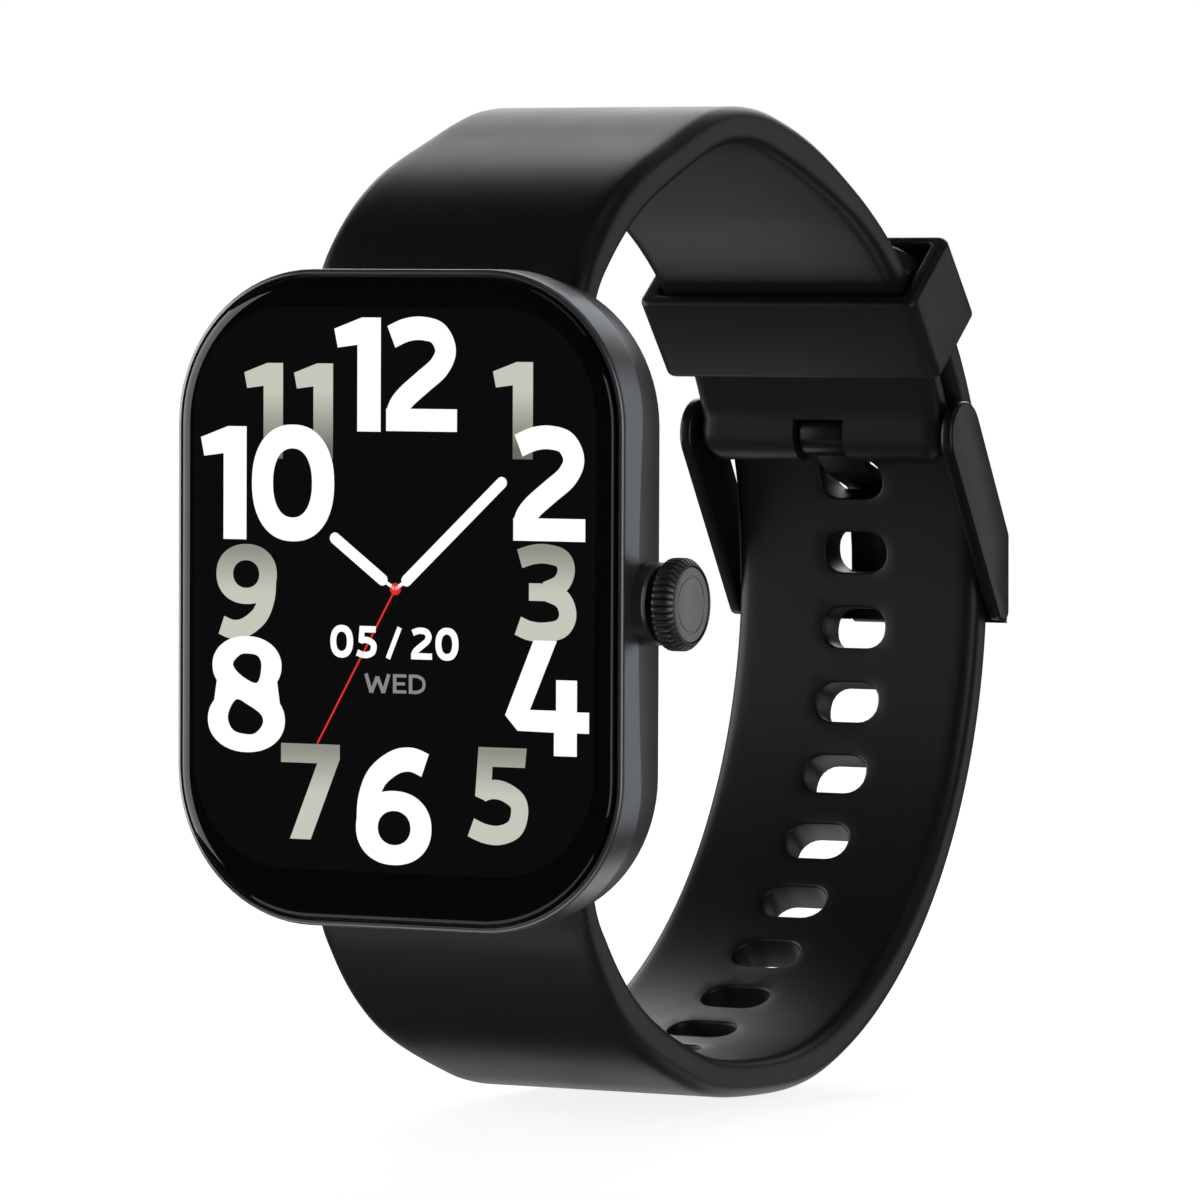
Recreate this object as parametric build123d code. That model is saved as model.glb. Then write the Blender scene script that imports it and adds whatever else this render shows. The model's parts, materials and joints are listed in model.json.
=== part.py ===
from build123d import *
from math import atan2, cos, degrees, radians, sin
import os

# Smartwatch with a buckled rubber strap, millimetres.  +Z is 12 o'clock, the display faces -Y and the
# crown is on +X.  The origin is the centre of the sensor window's outer face, which rests on the wrist.

os.makedirs("parts", exist_ok=True)

# ---- frame, glass and display ------------------------------------------------------------------------
CASE_W, CASE_H, CASE_R = 36.0, 46.4, 11.0
GLASS_FRONT, GLASS_BACK = -11.0, -9.65
FRAME_FRONT, FRAME_BREAK, FRAME_BACK = -10.3, -7.1, -3.9
FACET_INSET = 0.5                         # how far the rear facet slopes in
LIP = 0.25                                # chamfer round the frame's front edge
LEDGE = -9.5                              # seat of the glass inside the frame
GLASS_GAP, GLASS_EDGE = 0.4, 0.55         # insets of the glass pocket and of the glass
GLASS_BEVEL = 0.35
WALL = 1.2                                # frame wall round the cavity
PANEL_W, PANEL_H, PANEL_R, PANEL_Z = 33.2, 41.4, 8.4, 0.35
PANEL_BACK = -8.6
FLEX_HALF, FLEX_T, FLEX_FROM, FLEX_TO = 4.0, 0.12, -20.0, 6.0
AIR = 0.02                                # clearance between thin inner pieces

# ---- rear cover and strap notches --------------------------------------------------------------------
COVER_INSET, COVER_BACK_INSET, COVER_BACK, COVER_BEVEL = 0.7, 2.3, -0.8, 0.4
FLANGE_FRONT, FLANGE_INSET = -5.3, 1.25
SEAL_FRONT, SEAL_BACK, SEAL_DEPTH = -5.1, -4.75, 0.35
FLOOR = -2.0                              # inside face of the cover
POCKET_W, POCKET_H, POCKET_R = 26.8, 31.8, 5.0
NOTCH_W, NOTCH_Z, NOTCH_FRONT = 22.3, 17.0, -4.55
WINDOW_R, WINDOW_T, RING_R = 11.0, 1.2, 12.6
WINDOW_SEAT = 1.2                         # width of the step that carries the window
SCREW_X, SCREW_Z = 13.3, 15.3
SCREW_R, HEAD_R, HEAD_FRONT, SCREW_TIP = 0.6, 1.1, -1.9, -7.0
SOCKET_R, SOCKET_DEPTH = 0.6, 0.5
CONTACT_X, CONTACT_Z, CONTACT_R = 1.6, 14.3, 0.9

# ---- inner chassis -----------------------------------------------------------------------------------
CHASSIS_FRONT, CHASSIS_FLOOR, CHASSIS_BACK = -8.4, -7.8, -5.35
CHASSIS_GAP, CHASSIS_WALL, BOSS_R = 0.1, 0.8, 1.3
MIC_Y, MIC_Z, MIC_BORE = -6.6, -8.0, 0.4

# ---- inner blocks, each by its limits: x, x, front y, back y, z, z -----------------------------------
BOARD = (-11.0, 11.0, -7.7, -6.9, 4.0, 19.2)
CANS = ((-10.5, -1.0, -6.9, -5.6, 6.6, 15.0), (0.5, 10.5, -6.9, -5.6, 6.6, 13.0))
BATTERY, BATTERY_R = (-11.8, 11.2, -7.75, -2.75, -15.4, 2.4), 2.5
BATTERY_LEAD = (-3.0, 3.0, -6.88, -6.7, 2.4, 5.5)
SPEAKER = (1.0, 12.0, -5.4, -2.7, 5.0, 12.0)
MICROPHONE = (-15.6, -13.2, -7.8, -5.5, MIC_Z - 1.2, MIC_Z + 1.2)
SWITCH = (11.6, 13.3, -7.8, -4.8, -2.2, 2.2)
MOTOR_R, MOTOR_FRONT, MOTOR_BACK, MOTOR_X, MOTOR_Z = 4.0, -5.4, -2.8, -7.0, 9.0

# ---- sensor ------------------------------------------------------------------------------------------
SENSOR_BOARD_R, SENSOR_FRONT, SENSOR_BACK, CHIP_BACK = 9.4, -2.4, -1.9, -1.4
EMITTER, EMITTER_RING = 1.4, 2.6
DETECTOR, DETECTOR_RING = 2.2, 5.6

# ---- crown -------------------------------------------------------------------------------------------
CROWN_Y = -6.3
CROWN_R, CROWN_FROM, CROWN_TO = 3.25, 19.58, 21.33
CAP_R, CAP_SEAT = 2.7, 0.35
FLUTES, FLUTE_DEPTH, FLUTE_W = 40, 0.16, 0.14
COLLAR_R, COLLAR_TO = 2.9, 19.05
TUBE_OUT, TUBE_BORE, TUBE_FROM = 0.95, 0.65, 15.4
SHAFT_R, SHAFT_FROM = 0.6, 15.95
PLUNGER_FROM, PLUNGER_TO = 13.8, 15.9
SEAL_X, SEAL_RING, SEAL_WIRE, SEAL_GROOVE_R, SEAL_GROOVE_W = 18.2, 0.52, 0.11, 0.4, 0.4

# ---- strap -------------------------------------------------------------------------------------------
LUG_Y, LUG_Z, BARREL_R = -2.7, 18.9, 1.75     # axis of each spring bar, and the strap end round it
LUG_HEADING = 65.0                            # direction in which a strap leaves, from +Y towards +Z
STRAP_LUG_HALF, STRAP_HALF = 11.0, 10.4       # half widths at the case and at the buckle
TAPER_FROM, TAPER_TO = 0.0, 30.0              # Y positions between which the straps narrow
LUG_THICK = 2.9
HUB_Y, HUB_Z = 27.2, -0.6                     # centre that the strap's overlap region bends round
TAIL_OUT, TAIL_IN = 37.5, 34.6                # radii of the long strap about the hub
SHORT_OUT, SHORT_IN = 33.1, 30.7              # radii of the short strap about the hub
UPPER_STRAIGHT, UPPER_BENDS = 2.1, [(9.0, 23.6), (47.6, 24.8), (20.0, 32.5)]    # (radius, turn)
UPPER_INNER_BENDS = [(6.2, 23.6), (44.9, 24.8), (17.5, 32.5)]
LOWER_STRAIGHT, LOWER_BENDS, LOWER_INNER_BENDS = 3.4, [(9.0, 19.0)], [(6.2, 19.0)]
TIP_FROM, TIP_TURN = 5.0, 39.0                # the long strap bends tighter beyond this angle
TIP_OUT, TIP_STRAIGHT, TIP_LENGTH = 31.6, 6.9, 4.7
HOLE_COUNT, HOLE_FIRST, HOLE_STEP = 13, 32.4, 9.75
HOLE_W, HOLE_L, HOLE_R = 5.3, 3.4, 1.5
TONGUE_HOLE = 2                               # which hole holds the tongue, counted from the tip

# ---- spring bars -------------------------------------------------------------------------------------
BAR_TUBE_R, BAR_TUBE_HALF = 0.9, 10.6
PIN_R, PIN_TIP, PIN_CLEAR = 0.5, 12.5, 0.05
SPRING_FROM, SPRING_TO, SPRING_T = -8.6, 4.6, 0.2
LEVER_X, LEVER_R, LEVER_L, RELEASE = 7.0, 0.4, 2.1, 1.4

# ---- keeper and buckle -------------------------------------------------------------------------------
KEEPER_ANGLE, KEEPER_FORE, KEEPER_AFT = 39.3, 3.6, 3.9
KEEPER_IN, KEEPER_OUT, KEEPER_HALF, KEEPER_ROUND = 29.2, 37.6, 11.85, 0.9
ROOM_IN, ROOM_OUT, ROOM_SIDE = 30.35, 36.75, 0.15
BAR_ANGLE, BAR_R, LOOP_R = 20.5, 0.8, 2.0
BAR_RADIUS = 32.0                             # the bar's distance from the hub
BAR_HALF, BAR_PIN_FROM, BAR_PIN_TO = 10.45, 9.4, 11.3
FRAME_HALF, ARM_T, ARM_EYE_R, ARM_FOOT_R, ARM_OUT = 11.8, 1.0, 2.7, 0.8, 38.0
ARM_HEEL_ANGLE = 5.0
OUTER_BAR_IN, OUTER_BAR_OUT = 37.6, 38.3
OUTER_BAR_FROM, OUTER_BAR_TO = -5.2, -1.5
TONGUE_W, TONGUE_T, EYE_R, TONGUE_TIP_R, TONGUE_KNEE = 3.9, 0.9, 1.65, 38.42, 3.5
SEAT_DEPTH, SEAT_SIDE = 0.55, 0.15            # the outer bar's seat for the tongue
SLOT_W, SLOT_L, SLOT_SHIFT = 4.3, 4.55, 0.475


# ---- helpers -----------------------------------------------------------------------------------------
def outline(inset):
    """The case outline, moved in by an inset."""
    return RectangleRounded(CASE_W - 2 * inset, CASE_H - 2 * inset, CASE_R - inset)


def slab(sketch, front, back, x=0.0, z=0.0, taper=0.0):
    """A sketch in X and Z, extruded from Y = back forwards to Y = front."""
    return extrude(Plane.XZ.offset(-back) * (Pos(x, z) * sketch), back - front, taper=taper)


def plate(x0, x1, front, back, z0, z1):
    """A plain block between the given limits."""
    return slab(Rectangle(x1 - x0, z1 - z0), front, back, (x0 + x1) / 2, (z0 + z1) / 2)


def across(sketch, x0, x1):
    """A sketch in Y and Z, extruded along X."""
    return extrude(Plane.YZ.offset(x0) * sketch, x1 - x0)


def rod(y, z, radius, x0, x1):
    """A cylinder along X."""
    return across(Pos(y, z) * Circle(radius), x0, x1)


def hub_point(radius, angle, hub=(HUB_Y, HUB_Z)):
    """The (Y, Z) point at a radius and an angle about the hub."""
    return (hub[0] + radius * cos(radians(angle)), hub[1] + radius * sin(radians(angle)))


def at_hub(angle, radius, hub=(HUB_Y, HUB_Z)):
    """A plane that faces outwards from the hub, with its x along X and its y towards lower angles."""
    y, z = hub_point(radius, angle, hub)
    return Plane(origin=(0, y, z), x_dir=(1, 0, 0), z_dir=(0, cos(radians(angle)), sin(radians(angle))))


def sector(inner, outer, angle0, angle1):
    """A ring sector about the hub, as a sketch in Y and Z."""
    middle = (angle0 + angle1) / 2
    return make_face([
        ThreePointArc(hub_point(outer, angle0), hub_point(outer, middle), hub_point(outer, angle1)),
        Line(hub_point(outer, angle1), hub_point(inner, angle1)),
        ThreePointArc(hub_point(inner, angle1), hub_point(inner, middle), hub_point(inner, angle0)),
        Line(hub_point(inner, angle0), hub_point(outer, angle0)),
    ])


def turned(point, centre, angle):
    """A point turned about a centre, anticlockwise, in degrees."""
    c, s = cos(radians(angle)), sin(radians(angle))
    dy, dz = point[0] - centre[0], point[1] - centre[1]
    return (centre[0] + c * dy - s * dz, centre[1] + s * dy + c * dz)


def bearing(point, centre):
    """The angle of a point seen from a centre, in degrees from +Y towards +Z."""
    return degrees(atan2(point[1] - centre[1], point[0] - centre[0]))


def group(shapes):
    """Identical pieces kept as separate solids of one node."""
    return Compound(children=list(shapes))


# ---- frame, glass and display ------------------------------------------------------------------------
def mid_frame():
    """The metal ring: an upright side wall, then a facet that slopes in towards the rear cover."""
    facet_angle = degrees(atan2(FACET_INSET, FRAME_BACK - FRAME_BREAK))
    side = slab(outline(0), FRAME_FRONT, FRAME_BREAK)
    side = chamfer(side.edges().group_by(Axis.Y)[0], LIP)
    rear = extrude(Plane.XZ.offset(-FRAME_BREAK) * outline(0), FRAME_BREAK - FRAME_BACK, taper=facet_angle)
    ring = side + rear
    ring -= slab(outline(GLASS_GAP), FRAME_FRONT - 1, LEDGE)
    ring -= slab(outline(WALL), LEDGE - 1, FRAME_BACK + 1)
    ring -= rod(CROWN_Y, 0, TUBE_OUT, CASE_W / 2 - 3, CASE_W / 2 + 1)
    ring -= rod(MIC_Y, MIC_Z, MIC_BORE, -CASE_W / 2 - 1, -CASE_W / 2 + 3)
    return ring - strap_notches()


def strap_notches():
    """The two openings in the back of the case that the straps sit in."""
    notch = plate(-NOTCH_W / 2, NOTCH_W / 2, NOTCH_FRONT, 1, NOTCH_Z, CASE_H / 2 + 1)
    return notch + mirror(notch, Plane.XY)


def cover_glass():
    glass = slab(outline(GLASS_EDGE), GLASS_FRONT, GLASS_BACK)
    return chamfer(glass.edges().group_by(Axis.Y)[0], GLASS_BEVEL)


def glass_adhesive():
    return slab(outline(GLASS_EDGE + 0.05) - outline(WALL - 0.05), GLASS_BACK, LEDGE)


def display_panel():
    return slab(RectangleRounded(PANEL_W, PANEL_H, PANEL_R), GLASS_BACK, PANEL_BACK, 0, PANEL_Z)


def display_flex():
    """The panel's ribbon: flat behind the panel, then down through the chassis to the board."""
    front = PANEL_BACK + AIR
    ribbon = plate(-FLEX_HALF, FLEX_HALF, front, front + FLEX_T, FLEX_FROM, FLEX_TO)
    return ribbon + plate(-FLEX_HALF, FLEX_HALF, front, BOARD[2], FLEX_TO - FLEX_T, FLEX_TO)


# ---- inner chassis and what it carries ---------------------------------------------------------------
screw_spots = [(sx * SCREW_X, sz * SCREW_Z) for sx in (-1, 1) for sz in (-1, 1)]


def inner_chassis():
    """A tray behind the display, with a rim, four screw bosses and openings for ribbon, crown and sound."""
    tray = slab(outline(WALL + CHASSIS_GAP), CHASSIS_FRONT, CHASSIS_BACK)
    tray -= slab(outline(WALL + CHASSIS_GAP + CHASSIS_WALL), CHASSIS_FLOOR, CHASSIS_BACK + 1)
    for x, z in screw_spots:
        tray += slab(Circle(BOSS_R), CHASSIS_FLOOR, FLANGE_FRONT - 0.05, x, z)
    for x, z in screw_spots:
        tray -= slab(Circle(SCREW_R + AIR), CHASSIS_FLOOR, FLANGE_FRONT + 1, x, z)
    slit = FLEX_HALF + 0.5
    tray -= plate(-slit, slit, CHASSIS_FRONT - 1, CHASSIS_FLOOR + 1, FLEX_TO - 1, FLEX_TO + 0.5)
    tray -= rod(CROWN_Y, 0, TUBE_OUT + 0.1, CASE_W / 2 - 3, CASE_W / 2)
    tray -= rod(MIC_Y, MIC_Z, MIC_BORE + 0.1, -CASE_W / 2, -CASE_W / 2 + 3)
    return tray


def shield_cans():
    return group(plate(*limits) for limits in CANS)


def battery():
    return fillet(plate(*BATTERY).edges().filter_by(Axis.Y), BATTERY_R)


def vibration_motor():
    return slab(Circle(MOTOR_R), MOTOR_FRONT, MOTOR_BACK, MOTOR_X, MOTOR_Z)


def rear_gasket():
    return slab(outline(WALL) - outline(WALL + SEAL_DEPTH), SEAL_FRONT, SEAL_BACK)


# ---- rear cover --------------------------------------------------------------------------------------
def rear_cover():
    """The cover's shell, with a ring round the window and a notch for each strap."""
    slope = degrees(atan2(COVER_BACK_INSET - COVER_INSET, COVER_BACK - FRAME_BACK))
    body = extrude(Plane.XZ.offset(-FRAME_BACK) * outline(COVER_INSET), FRAME_BACK - COVER_BACK, taper=slope)
    body = chamfer(body.edges().group_by(Axis.Y)[-1], COVER_BEVEL)
    body += slab(outline(FLANGE_INSET), FLANGE_FRONT, FRAME_BACK)
    body -= slab(outline(WALL - 0.1) - outline(WALL + SEAL_DEPTH), SEAL_FRONT, SEAL_BACK)
    foot = (Align.CENTER, Align.CENTER, Align.MIN)
    ring = Cone(RING_R, WINDOW_R + 0.3, -COVER_BACK - 0.1, align=foot)
    body += Pos(0, COVER_BACK, 0) * Rot(-90, 0, 0) * ring
    body -= slab(RectangleRounded(POCKET_W, POCKET_H, POCKET_R), FLANGE_FRONT - 1, FLOOR)
    body -= slab(Circle(WINDOW_R), -WINDOW_T, 1)
    body -= slab(Circle(WINDOW_R - WINDOW_SEAT), FLOOR - 1, 0)
    body -= strap_notches()
    for side in (-1, 1):
        for end in (-1, 1):
            left, right = sorted((end * (NOTCH_W / 2 - 1), end * (PIN_TIP + 0.2)))
            body -= rod(LUG_Y, side * LUG_Z, PIN_R + PIN_CLEAR, left, right)
        body -= slab(Circle(CONTACT_R), FLOOR - 1, 1, side * CONTACT_X, -CONTACT_Z)
    for x, z in screw_spots:
        body -= slab(Circle(SCREW_R + 0.15), FLANGE_FRONT - 1, 1, x, z)
        body -= slab(Circle(HEAD_R + 0.1), HEAD_FRONT, 1, x, z)
    return body


def screw(x, z):
    head = slab(Circle(HEAD_R), HEAD_FRONT, COVER_BACK - 0.1, x, z)
    drive = slab(RegularPolygon(SOCKET_R, 6), COVER_BACK - 0.1 - SOCKET_DEPTH, 0, x, z)
    return head + slab(Circle(SCREW_R), SCREW_TIP, HEAD_FRONT, x, z) - drive


def rear_screws():
    return group(screw(x, z) for x, z in screw_spots)


def charge_contacts():
    front, back = FLOOR - 0.3, COVER_BACK + 0.05
    return group(slab(Circle(CONTACT_R), front, back, side * CONTACT_X, -CONTACT_Z) for side in (-1, 1))


# ---- sensor ------------------------------------------------------------------------------------------
def sensor_window():
    return slab(Circle(WINDOW_R), -WINDOW_T, 0)


def sensor_board():
    return slab(Circle(SENSOR_BOARD_R), SENSOR_FRONT, SENSOR_BACK)


def chips(size, ring, start):
    """Four square chips round the middle of the sensor board."""
    spots = [turned((ring, 0), (0, 0), start + quarter * 90) for quarter in range(4)]
    return group(slab(Rectangle(size, size), SENSOR_BACK, CHIP_BACK, x, z) for x, z in spots)


# ---- crown -------------------------------------------------------------------------------------------
def crown_knob():
    """A fluted knob with a chamfered rim and a shallow seat for the end disc."""
    seat = CROWN_TO - CAP_SEAT
    section = Plane.XY * Polyline(
        (CROWN_FROM, SHAFT_R), (CROWN_FROM, CROWN_R - 0.35), (CROWN_FROM + 0.2, CROWN_R),
        (CROWN_TO - 0.45, CROWN_R), (CROWN_TO, CROWN_R - 0.42), (CROWN_TO, CAP_R), (seat, CAP_R),
        (seat, SHAFT_R), close=True,
    )
    knob = revolve(make_face(section), Axis.X)
    groove = Pos(CROWN_FROM + 1, CROWN_R, 0) * Box(4, 2 * FLUTE_DEPTH, FLUTE_W)
    for k in range(FLUTES):
        knob -= Rot(k * 360 / FLUTES, 0, 0) * groove
    return Pos(0, CROWN_Y, 0) * knob


def crown_collar():
    """The crown tube, pressed through the frame's wall, with the ring that the knob stands off from."""
    collar = rod(CROWN_Y, 0, TUBE_OUT, TUBE_FROM, CASE_W / 2)
    collar += rod(CROWN_Y, 0, COLLAR_R, CASE_W / 2, COLLAR_TO)
    collar = chamfer(collar.edges().group_by(Axis.X)[-1], 0.2)
    return collar - rod(CROWN_Y, 0, TUBE_BORE, TUBE_FROM - 1, COLLAR_TO + 1)


def crown_shaft():
    shaft = rod(CROWN_Y, 0, SHAFT_R, SHAFT_FROM, CROWN_TO - CAP_SEAT)
    left, right = SEAL_X - SEAL_GROOVE_W / 2, SEAL_X + SEAL_GROOVE_W / 2
    return shaft - (rod(CROWN_Y, 0, SHAFT_R + 1, left, right) - rod(CROWN_Y, 0, SEAL_GROOVE_R, left, right))


def crown_seal():
    return Pos(SEAL_X, CROWN_Y, 0) * Rot(0, 90, 0) * Torus(SEAL_RING, SEAL_WIRE)


# ---- spring bars, drawn on the +Z side ---------------------------------------------------------------
def bar_tube():
    tube = rod(LUG_Y, LUG_Z, BAR_TUBE_R, -BAR_TUBE_HALF, BAR_TUBE_HALF)
    tube -= rod(LUG_Y, LUG_Z, PIN_R + PIN_CLEAR, -BAR_TUBE_HALF - 1, BAR_TUBE_HALF + 1)
    return tube - plate(LEVER_X - RELEASE - 0.5, LEVER_X + 0.5, LUG_Y, 0, LUG_Z - 0.5, LUG_Z + 0.5)


def release_pin():
    """The sliding pin, with the little lever that pulls it back."""
    foot = (Align.CENTER, Align.CENTER, Align.MIN)
    lever = Pos(LEVER_X, LUG_Y, LUG_Z) * Rot(-90, 0, 0) * Cylinder(LEVER_R, LEVER_L, align=foot)
    return rod(LUG_Y, LUG_Z, PIN_R, SPRING_TO, PIN_TIP) + lever


def release_spring():
    """The coil inside the tube, as its hollow envelope."""
    inside = rod(LUG_Y, LUG_Z, PIN_R - SPRING_T, SPRING_FROM - 1, SPRING_TO + 1)
    return rod(LUG_Y, LUG_Z, PIN_R, SPRING_FROM, SPRING_TO) - inside


# ---- straps ------------------------------------------------------------------------------------------
def strap_path(start, straight, bends, hub, radius, end_angle):
    """Edges of one strap face: straight, round the (radius, turn) bends, then onto an arc about the hub."""
    heading = LUG_HEADING
    point = (start[0] + straight * cos(radians(heading)), start[1] + straight * sin(radians(heading)))
    edges = [Line(start, point)]
    for bend, turn in bends:
        centre = (point[0] + bend * sin(radians(heading)), point[1] - bend * cos(radians(heading)))
        half, full = turned(point, centre, -turn / 2), turned(point, centre, -turn)
        edges.append(ThreePointArc(point, half, full))
        point, heading = full, heading - turn
    # the last bend's radius follows from being tangent to the hub's circle
    side = (sin(radians(heading)), -cos(radians(heading)))
    away = (point[0] - hub[0], point[1] - hub[1])
    reach = away[0] ** 2 + away[1] ** 2
    bend = (radius**2 - reach) / (2 * (side[0] * away[0] + side[1] * away[1] + radius))
    centre = (point[0] + bend * side[0], point[1] + bend * side[1])
    joint = tuple(hub[k] + radius * (centre[k] - hub[k]) / (radius - bend) for k in (0, 1))
    turn = bearing(point, centre) - bearing(joint, centre)
    edges.append(ThreePointArc(point, turned(point, centre, -turn / 2), joint))
    swing = bearing(joint, hub) - end_angle
    end = turned(joint, hub, -swing)
    edges.append(ThreePointArc(joint, turned(joint, hub, -swing / 2), end))
    return edges, end


def add_tip(edges, end, hub):
    """The tighter bend and the straight that end the long strap, on the +Z side."""
    half, full = turned(end, hub, -TIP_TURN / 2), turned(end, hub, -TIP_TURN)
    heading = radians(bearing(full, hub) - 90)
    last = (full[0] + TIP_STRAIGHT * cos(heading), full[1] + TIP_STRAIGHT * sin(heading))
    return edges + [ThreePointArc(end, half, full), Line(full, last)], last


def strap_blank(straight, bends, inner_bends, hub, radii, end_angle, tip_hub=None):
    """A strap's solid, on the +Z side: the band, the barrel round the spring bar, and the taper in width."""
    side = (sin(radians(LUG_HEADING)), -cos(radians(LUG_HEADING)))
    outer_start = (LUG_Y - BARREL_R * side[0], LUG_Z - BARREL_R * side[1])
    inner_start = (outer_start[0] + LUG_THICK * side[0], outer_start[1] + LUG_THICK * side[1])
    outer, outer_end = strap_path(outer_start, straight, bends, hub, radii[0], end_angle)
    inner, inner_end = strap_path(inner_start, straight, inner_bends, hub, radii[1], end_angle)
    if tip_hub:
        outer, outer_end = add_tip(outer, outer_end, tip_hub)
        inner, inner_end = add_tip(inner, inner_end, tip_hub)
    caps = [Line(outer_end, inner_end), Line(inner_start, outer_start)]
    profile = make_face(outer + inner + caps) + Pos(LUG_Y, LUG_Z) * Circle(BARREL_R)
    band = across(profile, -STRAP_LUG_HALF, STRAP_LUG_HALF)
    front, back = LUG_Y - 2 * BARREL_R, HUB_Y + 2 * TAIL_OUT
    plan = make_face(Polyline(
        (-STRAP_LUG_HALF, front), (STRAP_LUG_HALF, front), (STRAP_LUG_HALF, TAPER_FROM),
        (STRAP_HALF, TAPER_TO), (STRAP_HALF, back), (-STRAP_HALF, back), (-STRAP_HALF, TAPER_TO),
        (-STRAP_LUG_HALF, TAPER_FROM), close=True,
    ))
    return band & extrude(plan, CASE_H, both=True)


def lug_cuts():
    """What the spring bar and its release lever need cut out of a strap's end, on the +Z side."""
    bore = rod(LUG_Y, LUG_Z, BAR_TUBE_R + 0.05, -STRAP_LUG_HALF - 1, STRAP_LUG_HALF + 1)
    return bore + plate(LEVER_X - RELEASE - 0.7, LEVER_X + 0.7, LUG_Y, 2.0, LUG_Z - 0.75, LUG_Z + 0.75)


bar_y, bar_z = hub_point(BAR_RADIUS, BAR_ANGLE)


def upper_strap():
    """The short strap, which ends in a slotted loop round the buckle's bar."""
    strap = strap_blank(
        UPPER_STRAIGHT, UPPER_BENDS, UPPER_INNER_BENDS, (HUB_Y, HUB_Z), (SHORT_OUT, SHORT_IN), BAR_ANGLE,
    )
    strap += rod(bar_y, bar_z, LOOP_R, -STRAP_HALF, STRAP_HALF)
    strap -= rod(bar_y, bar_z, BAR_R + 0.05, -STRAP_HALF - 1, STRAP_HALF + 1)
    slot = at_hub(BAR_ANGLE, BAR_RADIUS - 3) * (Pos(0, SLOT_SHIFT) * Rectangle(SLOT_W, SLOT_L))
    return strap - extrude(slot, 6) - lug_cuts()


def tail_plane(angle, lift):
    """A plane on the long strap, at an angle about the hub if it didn't tighten, above its inner face."""
    if angle <= TIP_FROM:
        return at_hub(angle, TAIL_IN + lift)
    spread = TIP_FROM + (angle - TIP_FROM) * TAIL_OUT / TIP_OUT
    return at_hub(spread, TIP_OUT - TAIL_OUT + TAIL_IN + lift, tip_centre)


tip_centre = hub_point(TAIL_OUT - TIP_OUT, TIP_FROM)


def lower_strap():
    """The long strap with its row of holes, drawn above about the mirrored hub and then mirrored."""
    strap = strap_blank(
        LOWER_STRAIGHT, LOWER_BENDS, LOWER_INNER_BENDS, (HUB_Y, -HUB_Z), (TAIL_OUT, TAIL_IN), -TIP_FROM,
        (tip_centre[0], -tip_centre[1]),
    )
    strap = mirror(strap - lug_cuts(), Plane.XY)
    for k in range(HOLE_COUNT):
        place = tail_plane(HOLE_FIRST - k * HOLE_STEP, -1.5)
        strap -= extrude(place * RectangleRounded(HOLE_W, HOLE_L, HOLE_R), 6)
    tip_plane = at_hub(TIP_FROM + TIP_TURN, TIP_OUT - TAIL_OUT + TAIL_IN - 3, tip_centre)
    waste = Pos(0, -5) * Rectangle(3 * STRAP_HALF, 10) - Ellipse(STRAP_HALF, TIP_LENGTH)
    return strap - extrude(tip_plane * (Pos(0, TIP_LENGTH - TIP_STRAIGHT) * waste), 9)


# ---- keeper ------------------------------------------------------------------------------------------
def strap_keeper():
    """The box-shaped loop that slides along both straps, drawn facing up and then set at its angle."""
    length, middle = KEEPER_FORE + KEEPER_AFT, (KEEPER_AFT - KEEPER_FORE) / 2
    foot = (Align.CENTER, Align.CENTER, Align.MIN)
    loop = Pos(0, middle, KEEPER_IN) * Box(2 * KEEPER_HALF, length, KEEPER_OUT - KEEPER_IN, align=foot)
    loop = fillet(loop.edges().filter_by(Axis.Y), KEEPER_ROUND)
    room = Box(2 * (STRAP_HALF + ROOM_SIDE), 2 * length, ROOM_OUT - ROOM_IN, align=foot)
    return at_hub(KEEPER_ANGLE, 0).location * (loop - Pos(0, 0, ROOM_IN) * room)


# ---- buckle ------------------------------------------------------------------------------------------
def buckle_frame():
    """Two teardrop arms joined by the outer bar, which has a shallow seat for the tongue's tip."""
    foot_angle = OUTER_BAR_FROM + 1.4
    feet = (
        hub_point(ARM_OUT - ARM_FOOT_R - 0.5, foot_angle), hub_point(ARM_OUT - ARM_FOOT_R, foot_angle),
        hub_point(ARM_OUT - ARM_FOOT_R, ARM_HEEL_ANGLE),
    )
    rims = [Pos(bar_y, bar_z) * Circle(ARM_EYE_R)] + [Pos(*foot) * Circle(ARM_FOOT_R) for foot in feet]
    arm = make_hull([edge for rim in rims for edge in rim.edges()])
    arm_in = FRAME_HALF - ARM_T
    frame = across(arm, arm_in, FRAME_HALF) + across(arm, -FRAME_HALF, -arm_in)
    bar = sector(OUTER_BAR_IN, OUTER_BAR_OUT, OUTER_BAR_FROM, OUTER_BAR_TO)
    frame += across(bar, -FRAME_HALF, FRAME_HALF)
    seat = sector(OUTER_BAR_OUT - SEAT_DEPTH, OUTER_BAR_OUT + 1, OUTER_BAR_FROM - 1, OUTER_BAR_TO + 1)
    seat_half = TONGUE_W / 2 + SEAT_SIDE
    frame -= across(seat, -seat_half, seat_half)
    return frame - rod(bar_y, bar_z, PIN_R + PIN_CLEAR, -BAR_PIN_TO - 0.1, BAR_PIN_TO + 0.1)


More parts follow.
